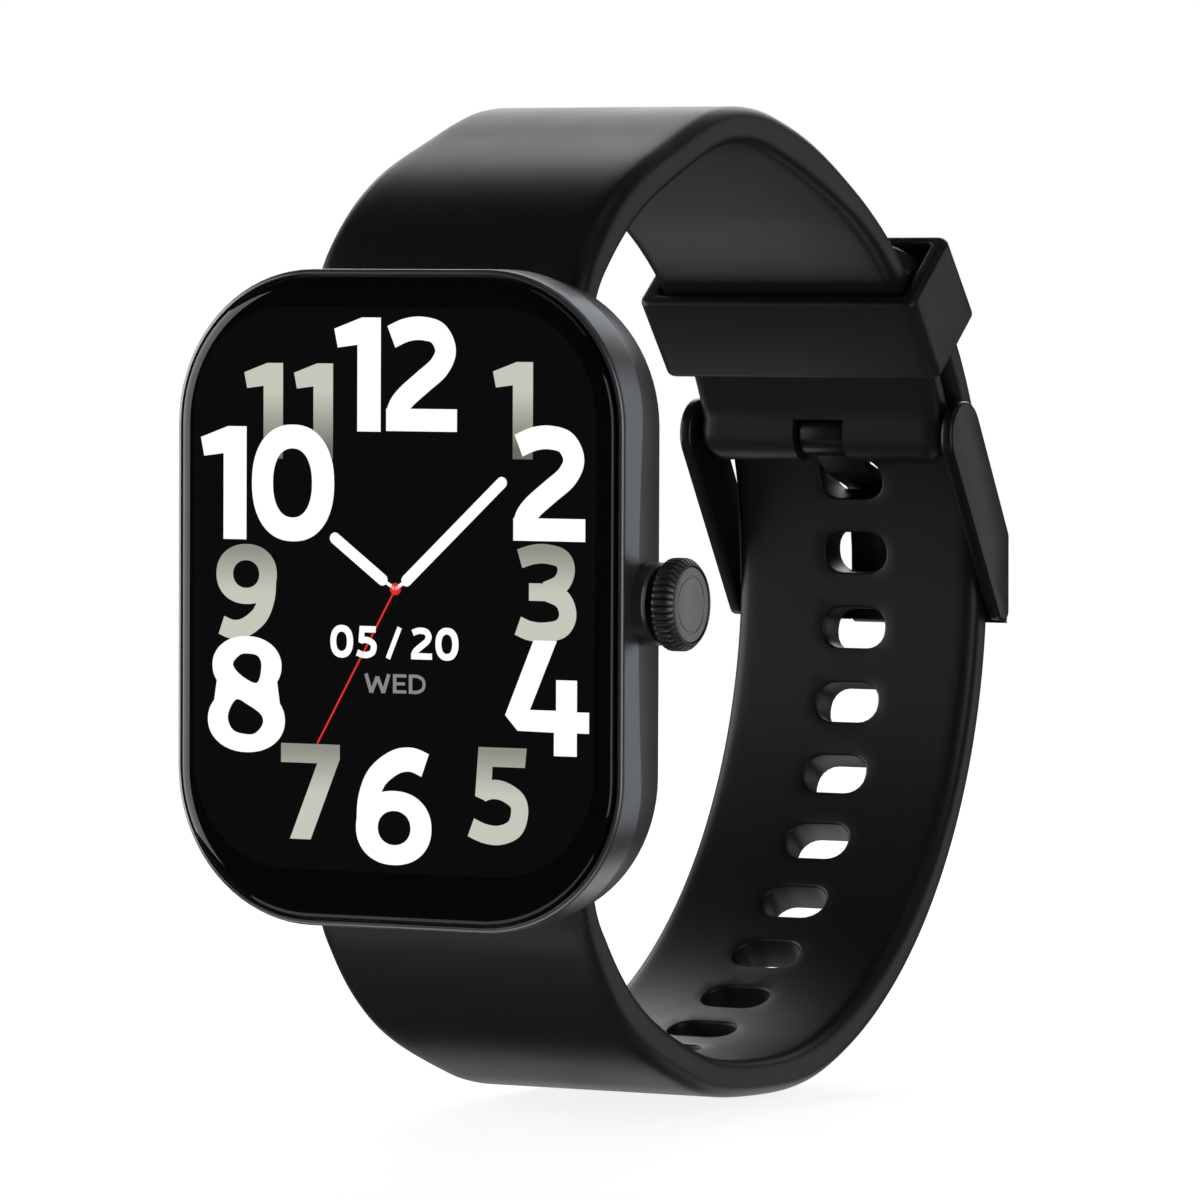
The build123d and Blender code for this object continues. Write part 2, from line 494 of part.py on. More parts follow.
def buckle_tongue():
    """A flat tongue that leaves its eye, passes through the hole and rests in the outer bar's seat."""
    hole = HOLE_FIRST - TONGUE_HOLE * HOLE_STEP
    route = [
        (bar_y - 0.45, bar_z - 1.1), hub_point(TAIL_IN - 0.4, hole + 1.5),
        hub_point(TAIL_OUT + 0.62, hole - 1.2), hub_point(TAIL_OUT + 0.7, TONGUE_KNEE),
        hub_point(TONGUE_TIP_R, OUTER_BAR_FROM + 0.4),
    ]
    arm = trace(FilletPolyline(*route, radius=1.1), line_width=TONGUE_T)
    tongue = across(arm + Pos(bar_y, bar_z) * Circle(EYE_R), -TONGUE_W / 2, TONGUE_W / 2)
    return tongue - rod(bar_y, bar_z, BAR_R + 0.06, -TONGUE_W, TONGUE_W)


def buckle_bar():
    bar = rod(bar_y, bar_z, BAR_R, -BAR_HALF, BAR_HALF)
    for left, right in ((-BAR_HALF - 1, -BAR_PIN_FROM), (BAR_PIN_FROM, BAR_HALF + 1)):
        bar -= rod(bar_y, bar_z, PIN_R, left, right)
    return bar


def buckle_pins():
    """The reduced ends that stand out of the bar into the arms."""
    ends = ((-BAR_PIN_TO, -BAR_PIN_FROM), (BAR_PIN_FROM, BAR_PIN_TO))
    return group(rod(bar_y, bar_z, PIN_R, left, right) for left, right in ends)


# ---- write every node --------------------------------------------------------------------------------
nodes = {
    "mid_frame": mid_frame(),
    "cover_glass": cover_glass(),
    "glass_adhesive": glass_adhesive(),
    "display_panel": display_panel(),
    "display_flex": display_flex(),
    "inner_chassis": inner_chassis(),
    "main_board": plate(*BOARD),
    "shield_cans": shield_cans(),
    "battery": battery(),
    "battery_lead": plate(*BATTERY_LEAD),
    "vibration_motor": vibration_motor(),
    "speaker": plate(*SPEAKER),
    "microphone": plate(*MICROPHONE),
    "crown_switch": plate(*SWITCH),
    "rear_gasket": rear_gasket(),
    "rear_cover": rear_cover(),
    "sensor_window": sensor_window(),
    "sensor_board": sensor_board(),
    "sensor_emitters": chips(EMITTER, EMITTER_RING, 45),
    "sensor_detectors": chips(DETECTOR, DETECTOR_RING, 0),
    "charge_contacts": charge_contacts(),
    "rear_screws": rear_screws(),
    "crown_collar": crown_collar(),
    "crown_plunger": rod(CROWN_Y, 0, SHAFT_R, PLUNGER_FROM, PLUNGER_TO),
    "crown_shaft": crown_shaft(),
    "crown_seal": crown_seal(),
    "crown_knob": crown_knob(),
    "crown_cap": rod(CROWN_Y, 0, CAP_R, CROWN_TO - CAP_SEAT, CROWN_TO - 0.05),
    "upper_strap": upper_strap(),
    "lower_strap": lower_strap(),
    "strap_keeper": strap_keeper(),
    "buckle_bar": buckle_bar(),
    "buckle_pins": buckle_pins(),
    "buckle_frame": buckle_frame(),
    "buckle_tongue": buckle_tongue(),
}
spring_bar = {
    "bar_tube": bar_tube(),
    "bar_pin": rod(LUG_Y, LUG_Z, PIN_R, -PIN_TIP, SPRING_FROM),
    "release_pin": release_pin(),
    "release_spring": release_spring(),
}
for piece, shape in spring_bar.items():
    nodes[f"upper_{piece}"] = shape
    nodes[f"lower_{piece}"] = mirror(shape, Plane.XY)
for name, shape in nodes.items():
    shape.label = name
    export_step(shape, f"parts/{name}.step")
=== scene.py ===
import json
from math import acos, atan2, ceil, cos, degrees, hypot, pi, radians, sin, sqrt

import bmesh
import bpy
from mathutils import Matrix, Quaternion, Vector
from mathutils.geometry import delaunay_2d_cdt


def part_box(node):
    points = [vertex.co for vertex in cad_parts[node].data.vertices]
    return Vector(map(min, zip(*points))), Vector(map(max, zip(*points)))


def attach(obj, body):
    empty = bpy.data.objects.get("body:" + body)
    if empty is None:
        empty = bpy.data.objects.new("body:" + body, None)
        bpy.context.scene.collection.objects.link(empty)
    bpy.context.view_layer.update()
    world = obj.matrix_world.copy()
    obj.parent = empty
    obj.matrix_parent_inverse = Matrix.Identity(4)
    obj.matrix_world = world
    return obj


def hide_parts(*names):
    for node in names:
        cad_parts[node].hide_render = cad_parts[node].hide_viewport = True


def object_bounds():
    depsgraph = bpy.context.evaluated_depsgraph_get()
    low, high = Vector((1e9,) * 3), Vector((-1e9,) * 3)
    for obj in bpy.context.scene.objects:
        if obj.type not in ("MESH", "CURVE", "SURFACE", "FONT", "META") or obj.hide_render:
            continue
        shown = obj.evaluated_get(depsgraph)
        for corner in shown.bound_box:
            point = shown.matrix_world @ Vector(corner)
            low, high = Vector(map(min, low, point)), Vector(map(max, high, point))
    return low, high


# The looks of a smartwatch with a buckled rubber strap. Lengths are millimetres until a mesh is made.
# +Z is 12 o'clock, the display faces -Y and the crown is on +X.

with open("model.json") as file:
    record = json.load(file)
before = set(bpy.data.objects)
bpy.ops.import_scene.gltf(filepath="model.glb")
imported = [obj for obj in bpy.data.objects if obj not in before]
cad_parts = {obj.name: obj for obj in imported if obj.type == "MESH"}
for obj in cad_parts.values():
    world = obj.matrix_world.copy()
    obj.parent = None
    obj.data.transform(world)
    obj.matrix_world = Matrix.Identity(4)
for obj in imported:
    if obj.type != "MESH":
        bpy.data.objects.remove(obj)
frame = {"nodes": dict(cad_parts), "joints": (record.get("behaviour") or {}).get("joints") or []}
cad_low, cad_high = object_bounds()
MM = 0.001


def cad(node):
    """A CAD node's lowest and highest corners, in millimetres."""
    low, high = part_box(node)
    return [v / MM for v in low], [v / MM for v in high]


joints = {joint["name"]: joint for joint in frame["joints"]}


def axis_at(joint):
    """The (Y, Z) place of a joint's axis, in millimetres."""
    return joints[joint]["pos_m"][1] / MM, joints[joint]["pos_m"][2] / MM


# ---- materials ----
def material(name, colour, roughness, metallic=0.0, grain=0.0, grain_size=0.1, vary=0.15, tint=0.12,
             specular=0.5, coat=0.0, stretch=(1, 1, 1), edge_lightening=0.0):
    """A principled material whose colour, roughness and relief vary with noise, and whose colour may turn
    lighter on sharp convex edges. Sizes are millimetres.
    """
    made = bpy.data.materials.new(name)
    made.use_nodes = True
    nodes, links = made.node_tree.nodes, made.node_tree.links
    shader = nodes["Principled BSDF"]
    shader.inputs["Metallic"].default_value = metallic
    shader.inputs["Specular IOR Level"].default_value = specular
    shader.inputs["Coat Weight"].default_value = coat
    shader.inputs["Coat Roughness"].default_value = 0.05
    place = nodes.new("ShaderNodeTexCoord")
    scale = nodes.new("ShaderNodeMapping")
    scale.inputs["Scale"].default_value = stretch
    links.new(place.outputs["Object"], scale.inputs["Vector"])

    def noise(size, detail):
        node = nodes.new("ShaderNodeTexNoise")
        node.inputs["Scale"].default_value = 1 / (size * MM)
        node.inputs["Detail"].default_value = detail
        links.new(scale.outputs["Vector"], node.inputs["Vector"])
        return node.outputs["Fac"]

    broad, fine = noise(6.0, 3), noise(grain_size, 4)
    spread = nodes.new("ShaderNodeMapRange")
    spread.inputs["To Min"].default_value = roughness * (1 - vary)
    spread.inputs["To Max"].default_value = roughness * (1 + vary)
    links.new(broad, spread.inputs["Value"])
    links.new(spread.outputs["Result"], shader.inputs["Roughness"])
    ramp = nodes.new("ShaderNodeValToRGB")
    ramp.color_ramp.elements[0].position = 0.3
    ramp.color_ramp.elements[1].position = 0.7
    ramp.color_ramp.elements[0].color = (*[c * (1 - tint) for c in colour], 1)
    ramp.color_ramp.elements[1].color = (*[min(1, c * (1 + tint)) for c in colour], 1)
    links.new(fine, ramp.inputs["Fac"])
    colour_out = ramp.outputs["Color"]
    # where asked, the colour turns lighter on sharp convex edges, found from the mesh's pointiness
    if edge_lightening:
        geometry = nodes.new("ShaderNodeNewGeometry")
        edge = nodes.new("ShaderNodeMapRange")
        edge.inputs["From Min"].default_value = 0.52
        edge.inputs["From Max"].default_value = 0.62
        edge.inputs["To Max"].default_value = edge_lightening
        links.new(geometry.outputs["Pointiness"], edge.inputs["Value"])
        mix = nodes.new("ShaderNodeMix")
        mix.data_type = "RGBA"
        mix.inputs[7].default_value = (*[min(1, c * 1.8 + 0.02) for c in colour], 1)
        links.new(edge.outputs["Result"], mix.inputs[0])
        links.new(colour_out, mix.inputs[6])
        colour_out = mix.outputs[2]
    links.new(colour_out, shader.inputs["Base Color"])
    if grain:
        bump = nodes.new("ShaderNodeBump")
        bump.inputs["Distance"].default_value = grain * MM
        bump.inputs["Strength"].default_value = 1.0
        links.new(fine, bump.inputs["Height"])
        links.new(bump.outputs["Normal"], shader.inputs["Normal"])
    return made


def lit(name, colour, high=None, z_low=0.0, z_high=0.0):
    """A lit part of the display: one colour, or one that runs to another between two heights."""
    made = material(name, (0.002, 0.002, 0.002), 0.12, tint=0.05, specular=0.2)
    nodes, links = made.node_tree.nodes, made.node_tree.links
    shader = nodes["Principled BSDF"]
    shader.inputs["Emission Strength"].default_value = 1.0
    if high is None:
        shader.inputs["Emission Color"].default_value = (*colour, 1)
        return made
    place = nodes.new("ShaderNodeTexCoord")
    split = nodes.new("ShaderNodeSeparateXYZ")
    links.new(place.outputs["Object"], split.inputs["Vector"])
    height = nodes.new("ShaderNodeMapRange")
    height.inputs["From Min"].default_value = z_low * MM
    height.inputs["From Max"].default_value = z_high * MM
    links.new(split.outputs["Z"], height.inputs["Value"])
    ramp = nodes.new("ShaderNodeValToRGB")
    ramp.color_ramp.elements[0].color = (*colour, 1)
    ramp.color_ramp.elements[1].color = (*high, 1)
    links.new(height.outputs["Result"], ramp.inputs["Fac"])
    links.new(ramp.outputs["Color"], shader.inputs["Emission Color"])
    return made


looks = {
    "frame_metal": material("anodised_frame", (0.235, 0.25, 0.267), 0.34, 0.95, 0.004, 0.05, tint=0.05),
    "cover_glass": material("black_glass", (0.0012, 0.0012, 0.0013), 0.03, 0, vary=0.3, specular=0.45),
    "display": material("display_black", (0.004, 0.004, 0.0045), 0.1),
    "adhesive": material("adhesive_black", (0.01, 0.01, 0.01), 0.6, 0, 0.01, 0.2),
    "flex_film": material("flex_amber", (0.35, 0.13, 0.02), 0.4, 0, 0.004, 0.3),
    "inner_plastic": material("chassis_grey", (0.05, 0.05, 0.055), 0.55, 0, 0.01, 0.15),
    "circuit_board": material("board_green", (0.01, 0.06, 0.03), 0.45, 0, 0.01, 0.3),
    "shield_metal": material("shield_tin", (0.6, 0.6, 0.6), 0.35, 1, 0.004, 0.3),
    "battery_foil": material("battery_wrap", (0.03, 0.03, 0.035), 0.3, 0.2, 0.01, 0.8),
    "seal_rubber": material("seal_silicone", (0.02, 0.02, 0.02), 0.7, 0, 0.006, 0.1),
    "cover_plastic": material("cover_black", (0.012, 0.012, 0.013), 0.32, 0, 0.004, 0.12, edge_lightening=0.15),
    "sensor_glass": material("sensor_dark_glass", (0.004, 0.004, 0.005), 0.05, 0, coat=0.6),
    "sensor_chip": material("sensor_chip_dark", (0.03, 0.03, 0.028), 0.3, 0, 0.004, 0.2),
    "contact_gold": material("contact_plating", (0.83, 0.58, 0.22), 0.28, 1, 0.003, 0.1),
    "screw_steel": material("screw_black_steel", (0.12, 0.12, 0.125), 0.35, 1, 0.004, 0.08),
    "crown_metal": material("crown_anodised", (0.13, 0.135, 0.14), 0.36, 0.95, 0.004, 0.06, edge_lightening=0.2),
    "crown_disc": material("crown_disc_satin", (0.30, 0.31, 0.32), 0.42, 0.9, 0.003, 0.05),
    "bar_steel": material("bar_turned_steel", (0.42, 0.42, 0.43), 0.3, 1, 0.003, 0.05, stretch=(0.15, 1, 1)),
    "strap_rubber": material("strap_silicone", (0.007, 0.007, 0.0074), 0.42, 0, 0.004, 0.07, 0.1, 0.2,
                             specular=0.4),
    "buckle_metal": material("buckle_black_steel", (0.035, 0.035, 0.038), 0.3, 0.85, 0.003, 0.06, edge_lightening=0.3),
}
white_lit = lit("dial_white_lit", (1.0, 1.0, 1.0))
soft_lit = lit("dial_weekday_lit", (0.24, 0.24, 0.235))
red_lit = lit("dial_red_lit", (0.75, 0.03, 0.025))
field_lit = lit("dial_field_lit", (0.0018, 0.0018, 0.0018))

# ---- meshes ----
def add(name, verts, faces, body, slot, replaces=(), look=None, sharp=32.0):
    """A finished piece from millimetre points: riding, with its slot, its finish and smooth shading."""
    mesh = bpy.data.meshes.new(name)
    mesh.from_pydata([(x * MM, y * MM, z * MM) for x, y, z in verts], [], faces)
    bm = bmesh.new()
    bm.from_mesh(mesh)
    bmesh.ops.recalc_face_normals(bm, faces=bm.faces)
    bm.to_mesh(mesh)
    bm.free()
    piece = bpy.data.objects.new(name, mesh)
    bpy.context.scene.collection.objects.link(piece)
    mesh.materials.append(look or looks[slot])
    smooth(mesh, sharp)
    if body:
        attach(piece, body)
    if replaces:
        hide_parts(*replaces)
    return piece


def smooth(mesh, sharp):
    mesh.polygons.foreach_set("use_smooth", [True] * len(mesh.polygons))
    mesh.set_sharp_from_angle(angle=radians(sharp))
    mesh.update()


def combine(piece, tool, operation="DIFFERENCE"):
    """Cuts a closed tool piece out of another, or joins it on, then removes it."""
    modifier = piece.modifiers.new("combine", "BOOLEAN")
    modifier.operation, modifier.object, modifier.solver = operation, tool, "EXACT"
    bpy.context.view_layer.update()
    graph = bpy.context.evaluated_depsgraph_get()
    result = bpy.data.meshes.new_from_object(piece.evaluated_get(graph))
    piece.modifiers.remove(modifier)
    piece.data = result
    bpy.data.objects.remove(tool)


def cut(piece, tools, sharp=32.0):
    """Subtracts closed tool pieces, then shades the piece again."""
    for tool in tools:
        combine(piece, tool)
    smooth(piece.data, sharp)


def loft(rings, start_cap=True, end_cap=True, ring_closed=False):
    """Faces between equal rings of points, each ring a closed loop."""
    count = len(rings[0])
    verts = [point for ring in rings for point in ring]
    faces = []
    pairs = len(rings) if ring_closed else len(rings) - 1
    for k in range(pairs):
        a, b = k * count, (k + 1) % len(rings) * count
        for i in range(count):
            j = (i + 1) % count
            faces.append((a + i, a + j, b + j, b + i))
    if not ring_closed:
        if start_cap:
            faces.append(tuple(range(count))[::-1])
        if end_cap:
            last = (len(rings) - 1) * count
            faces.append(tuple(range(last, last + count)))
    return verts, faces


def box_tool(low, high):
    ring = [(low[0], low[1]), (high[0], low[1]), (high[0], high[1]), (low[0], high[1])]
    return add("tool", *loft([[(x, y, z) for x, y in ring] for z in (low[2], high[2])]), None, "adhesive")


def disc(x, y, radius, count=24):
    spots = [2 * pi * k / count for k in range(count)]
    return [(x + radius * cos(a), y + radius * sin(a)) for a in spots]


def prism_tool(outline, x0, x1):
    """A prism along X whose outline is in (Y, Z)."""
    return add("tool", *loft([[(x, y, z) for y, z in outline] for x in (x0, x1)]), None, "adhesive")


def rod_tool(y, z, radius, x0, x1, count=24):
    return prism_tool(disc(y, z, radius, count), x0, x1)


def rounded(width, height, radius, corner=14, step=1.6):
    """A rounded rectangle as (x, y, nx, ny) points, anticlockwise, with outward normals."""
    points = []
    half_w, half_h = width / 2 - radius, height / 2 - radius
    spots = [(half_w, half_h, 0), (-half_w, half_h, 90), (-half_w, -half_h, 180), (half_w, -half_h, 270)]
    for k, (cx, cy, start) in enumerate(spots):
        for i in range(corner + 1):
            a = radians(start + 90 * i / corner)
            points.append((cx + radius * cos(a), cy + radius * sin(a), cos(a), sin(a)))
        nx, ny, _ = spots[(k + 1) % 4]
        gap = hypot(nx - cx, ny - cy)
        parts = max(1, ceil(gap / step))
        x, y, ux, uy = points[-1]
        for i in range(1, parts):
            points.append((x + (nx - cx) * i / parts, y + (ny - cy) * i / parts, ux, uy))
    return points


def with_normals(outline):
    """(x, y, nx, ny) for a closed anticlockwise outline."""
    made = []
    for k, (x, y) in enumerate(outline):
        ax, ay = outline[k - 1]
        bx, by = outline[(k + 1) % len(outline)]
        length = hypot(bx - ax, by - ay) or 1
        made.append((x, y, (by - ay) / length, -(bx - ax) / length))
    return made


def quarter(steps):
    """(inset share, depth share) round a quarter circle, from the flat face to the side."""
    return [(1 - sin(a), 1 - cos(a)) for a in [pi / 2 * k / steps for k in range(steps + 1)]]


def plate_across(outline, x0, x1, round_r, steps=4):
    """Rings of a plate whose outline is in (Y, Z) and whose two rims are rounded."""
    loop = with_normals(outline)
    rows = [(x0 + round_r * sink, round_r * reach) for reach, sink in quarter(steps)]
    rows += [(x1 - round_r * sink, round_r * reach) for reach, sink in reversed(quarter(steps))]
    return [[(x, y - ny * inset, z - nz * inset) for y, z, ny, nz in loop] for x, inset in rows]


# ---- strap paths ----
lug = axis_at("upper_strap_swing")
hub = axis_at("keeper_slide")
bar = axis_at("buckle_swing")
LUG_HEADING, BARREL_R, LUG_THICK = 65.0, 1.75, 2.9
LUG_HALF, TAIL_HALF, TAPER_TO = 11.0, 10.4, 30.0
SHORT_OUT, SHORT_IN, TAIL_OUT, TAIL_IN = 33.1, 30.7, 37.5, 34.6
BAR_ANGLE = degrees(atan2(bar[1] - hub[1], bar[0] - hub[0]))
TIP_FROM, TIP_TURN, TIP_OUT, TIP_STRAIGHT, TIP_LENGTH = 5.0, 39.0, 31.6, 6.9, 4.7
HOLES, HOLE_FIRST, HOLE_STEP, TONGUE_HOLE = 13, 32.4, 9.75, 2


def about(centre, radius, angle):
    return centre[0] + radius * cos(radians(angle)), centre[1] + radius * sin(radians(angle))


def side_path(start, straight, bends, centre, radius, end_angle):
    """One face of a strap as straight and arc segments, all turning clockwise, drawn on the +Z side."""
    heading, point = LUG_HEADING, start
    c, s = cos(radians(heading)), sin(radians(heading))
    full = (point[0] + straight * c, point[1] + straight * s)
    parts = [("line", point, full)]
    point = full
    for bend, turn in bends:
        middle = (point[0] + bend * sin(radians(heading)), point[1] - bend * cos(radians(heading)))
        parts.append(("arc", middle, bend, heading + 90, turn))
        heading -= turn
        point = about(middle, bend, heading + 90)
    side = (sin(radians(heading)), -cos(radians(heading)))
    away = (point[0] - centre[0], point[1] - centre[1])
    bend = (radius**2 - away[0] ** 2 - away[1] ** 2) / (2 * (side[0] * away[0] + side[1] * away[1] + radius))
    middle = (point[0] + bend * side[0], point[1] + bend * side[1])
    joint = degrees(atan2(*[(middle[k] - centre[k]) / (radius - bend) for k in (1, 0)]))
    parts.append(("arc", middle, bend, heading + 90, heading + 90 - joint))
    parts.append(("arc", centre, radius, joint, joint - end_angle))
    return parts


def along(part, share):
    """The point on a segment at a share of its length."""
    if part[0] == "line":
        return tuple(part[1][k] + (part[2][k] - part[1][k]) * share for k in (0, 1))
    return about(part[1], part[2], part[3] - part[4] * share)


def length_of(part):
    if part[0] == "line":
        return hypot(part[2][0] - part[1][0], part[2][1] - part[1][1])
    return part[2] * radians(part[4])


def strap_sides(straight, bends, thinner, centre, radii, end_angle, tip=None):
    """The outer and the inner path of a strap, with equal numbers of segments."""
    side = (sin(radians(LUG_HEADING)), -cos(radians(LUG_HEADING)))
    start = (lug[0] - BARREL_R * side[0], lug[1] - BARREL_R * side[1])
    under = (start[0] + LUG_THICK * side[0], start[1] + LUG_THICK * side[1])
    outer = side_path(start, straight, bends, centre, radii[0], end_angle)
    inner = side_path(under, straight, [(r - d, t) for (r, t), d in zip(bends, thinner)], centre, radii[1],
                      end_angle)
    if tip:
        for parts, radius in ((outer, TIP_OUT), (inner, TIP_OUT - radii[0] + radii[1])):
            parts.append(("arc", tip, radius, end_angle, TIP_TURN))
            last = about(tip, radius, end_angle - TIP_TURN)
            heading = radians(end_angle - TIP_TURN - 90)
            parts.append(("line", last, (last[0] + TIP_STRAIGHT * cos(heading),
                                         last[1] + TIP_STRAIGHT * sin(heading))))
    return outer, inner


class Band:
    """A strap's mapping from plan (s along the outer face, x across, depth) to space."""

    def __init__(self, outer, inner, flip, fuller):
        """fuller has (first s, last s, push of the outer face, push of the inner face) rows."""
        self.outer, self.inner, self.flip, self.fuller = outer, inner, flip, fuller
        self.loop_at = None
        self.ends = [0.0]
        for part in outer:
            self.ends.append(self.ends[-1] + length_of(part))
        self.length = self.ends[-1]

    def faces_at(self, s):
        """The outer and the inner point at s, which may run past either end."""
        k = 0
        while k < len(self.outer) - 1 and s > self.ends[k + 1]:
            k += 1
        share = (s - self.ends[k]) / (self.ends[k + 1] - self.ends[k])
        out, inn = along(self.outer[k], share), along(self.inner[k], share)
        dy, dz = out[0] - inn[0], out[1] - inn[1]
        thick = hypot(dy, dz)
        for first, last, *swell in self.fuller:
            if first < s < last:
                wave = sin(pi * (s - first) / (last - first)) ** 2
                out, inn = [(p[0] + push * wave * dy / thick, p[1] + push * wave * dz / thick)
                            for p, push in zip((out, inn), swell)]
        return out, inn

    def spine(self, s):
        """The middle of the strap, the outward direction there, and half the thickness."""
        out, inn = self.faces_at(s)
        dy, dz = out[0] - inn[0], out[1] - inn[1]
        thick = hypot(dy, dz)
        half = thick / 2
        if self.loop_at is not None:
            gap = self.loop_at - s
            bulge = sqrt(max(0.0, LOOP_R**2 - max(gap, 0) ** 2))
            mean, diff = (half + bulge) / 2, (half - bulge) / 2
            half = mean + sqrt(diff**2 + LOOP_BLEND**2) if gap > 0 else bulge
            if gap > LOOP_FADE:
                fade = max(0.0, 1 - (gap - LOOP_FADE) / LOOP_FADE_LENGTH)
                half = thick / 2 + max(0.0, half - thick / 2) * fade
        return ((out[0] + inn[0]) / 2, (out[1] + inn[1]) / 2), (dy / thick, dz / thick), half

    def point(self, s, x, depth, inner_side=False):
        """The place at a depth in millimetres below the outer face, or above the inner face."""
        middle, away, half = self.spine(s)
        lift = depth - half if inner_side else half - depth
        y, z = middle[0] + away[0] * lift, middle[1] + away[1] * lift
        return x, y, -z if self.flip else z

    def half_width(self, s):
        y = self.spine(s)[0][0]
        share = min(1, max(0, y / TAPER_TO))
        return LUG_HALF + (TAIL_HALF - LUG_HALF) * share


def inside(point, loop):
    """Whether a point lies in a closed loop."""
    x, y = point
    hit = False
    for k in range(len(loop)):
        (ax, ay), (bx, by) = loop[k - 1], loop[k]
        if (ay > y) != (by > y) and x < (bx - ax) * (y - ay) / (by - ay) + ax:
            hit = not hit
    return hit


# roundings at the rims and holes, and the spacing of the points that fill the strap's faces
RIM_STEPS, HOLE_STEPS, HOLE_ROUND = 5, 3, 0.24
ROW, COLUMN, CLEARANCE, HOLE_REACH = 0.95, 1.3, 0.2, 6


def band_mesh(band, outline, holes):
    """A closed strap mesh. outline has (s, x, ns, nx, plan round, outer depth, inner depth) points, and each
    hole (s, x, ns, nx) points whose normals face the hole's middle."""
    verts, faces = [], []
    fills = {False: [], True: []}
    for points, is_hole in [(outline, False)] + [(hole, True) for hole in holes]:
        count = len(points)
        chains = []
        for inner_side in (False, True):
            stack = []
            for reach, sink in quarter(HOLE_STEPS if is_hole else RIM_STEPS):
                loop = []
                stack.append((len(verts), loop))
                for p in points:
                    inset = (HOLE_ROUND if is_hole else p[4]) * reach
                    depth = (HOLE_ROUND if is_hole else p[6 if inner_side else 5]) * sink
                    s, x = p[0] - p[2] * inset, p[1] - p[3] * inset
                    loop.append((s, x))
                    verts.append(band.point(s, x, depth, inner_side))
            fills[inner_side].append(stack[0])
            chains.append([first for first, _ in stack])
        chain = chains[0] + chains[1][::-1]
        for a, b in zip(chain, chain[1:]):
            faces += [(a + i, a + (i + 1) % count, b + (i + 1) % count, b + i) for i in range(count)]
    for inner_side, rings in fills.items():
        flat, edges, owner = [], [], []
        for first, loop in rings:
            base, count = len(flat), len(loop)
            flat += [Vector(p) for p in loop]
            owner += range(first, first + count)
            edges += [(base + i, base + (i + 1) % count) for i in range(count)]
        outer_loop, hole_loops = rings[0][1], [loop for _, loop in rings[1:]]

        def in_strap(point):
            near = [h for h in hole_loops if abs(h[0][0] - point[0]) < HOLE_REACH]
            return inside(point, outer_loop) and not any(inside(point, h) for h in near)

        taken = {}
        for p in flat:
            taken.setdefault((round(p.x), round(p.y)), []).append(p)
        low, high = min(p[0] for p in outer_loop), max(p[0] for p in outer_loop)
        widest = max(p[1] for p in outer_loop)
        rows, columns = ceil((high - low) / ROW), ceil(2 * widest / COLUMN)
        for i in range(1, rows):
            for j in range(1, columns):
                s, x = low + (high - low) * i / rows, -widest + 2 * widest * j / columns
                close = any((q.x - s) ** 2 + (q.y - x) ** 2 < CLEARANCE
                            for a in (-1, 0, 1) for b in (-1, 0, 1)
                            for q in taken.get((round(s) + a, round(x) + b), ()))
                if not close and in_strap((s, x)):
                    flat.append(Vector((s, x)))
                    owner.append(None)
        points, _, triangles, origin, _, _ = delaunay_2d_cdt(flat, edges, [], 1, 1e-5)
        place = []
        for p, source in zip(points, origin):
            known = [owner[k] for k in source if owner[k] is not None]
            place.append(known[0] if known else len(verts))
            if not known:
                verts.append(band.point(p.x, p.y, 0.0, inner_side))
        for triangle in triangles:
            if in_strap((sum(points[k].x for k in triangle) / 3, sum(points[k].y for k in triangle) / 3)):
                faces.append(tuple(place[k] for k in triangle))
    return verts, faces


def to_quads(piece, sharp=32.0):
    bm = bmesh.new()
    bm.from_mesh(piece.data)
    triangles = [f for f in bm.faces if len(f.verts) == 3]
    bmesh.ops.join_triangles(bm, faces=triangles, angle_face_threshold=radians(12),
                             angle_shape_threshold=radians(50))
    loose = [v for v in bm.verts if not v.link_faces]
    bmesh.ops.delete(bm, geom=loose, context="VERTS")
    bmesh.ops.recalc_face_normals(bm, faces=bm.faces)
    bm.to_mesh(piece.data)
    bm.free()
    smooth(piece.data, sharp)


def hole_points(s, half_w, half_l, radius, count=5):
    """A rounded hole in plan: (s, x, ns, nx) with normals that face its middle."""
    loop = rounded(2 * half_w, 2 * half_l, radius, count, 0.55)
    return [(s + y, x, -ny, -nx) for x, y, nx, ny in reversed(loop)]


# rounding of the strap's rims: reach in plan, depth on the outer face, depth on the inner face
RIM = (1.15, 1.05, 0.95)
# the loop round the bar: radius, corner in plan, and how it runs out into the strap
LOOP_R, LOOP_CORNER, LOOP_BLEND, LOOP_FADE, LOOP_FADE_LENGTH = 2.0, 2.1, 0.175, 2.6, 1.5
LUG_END, LUG_CORNER = -1.6, 1.4


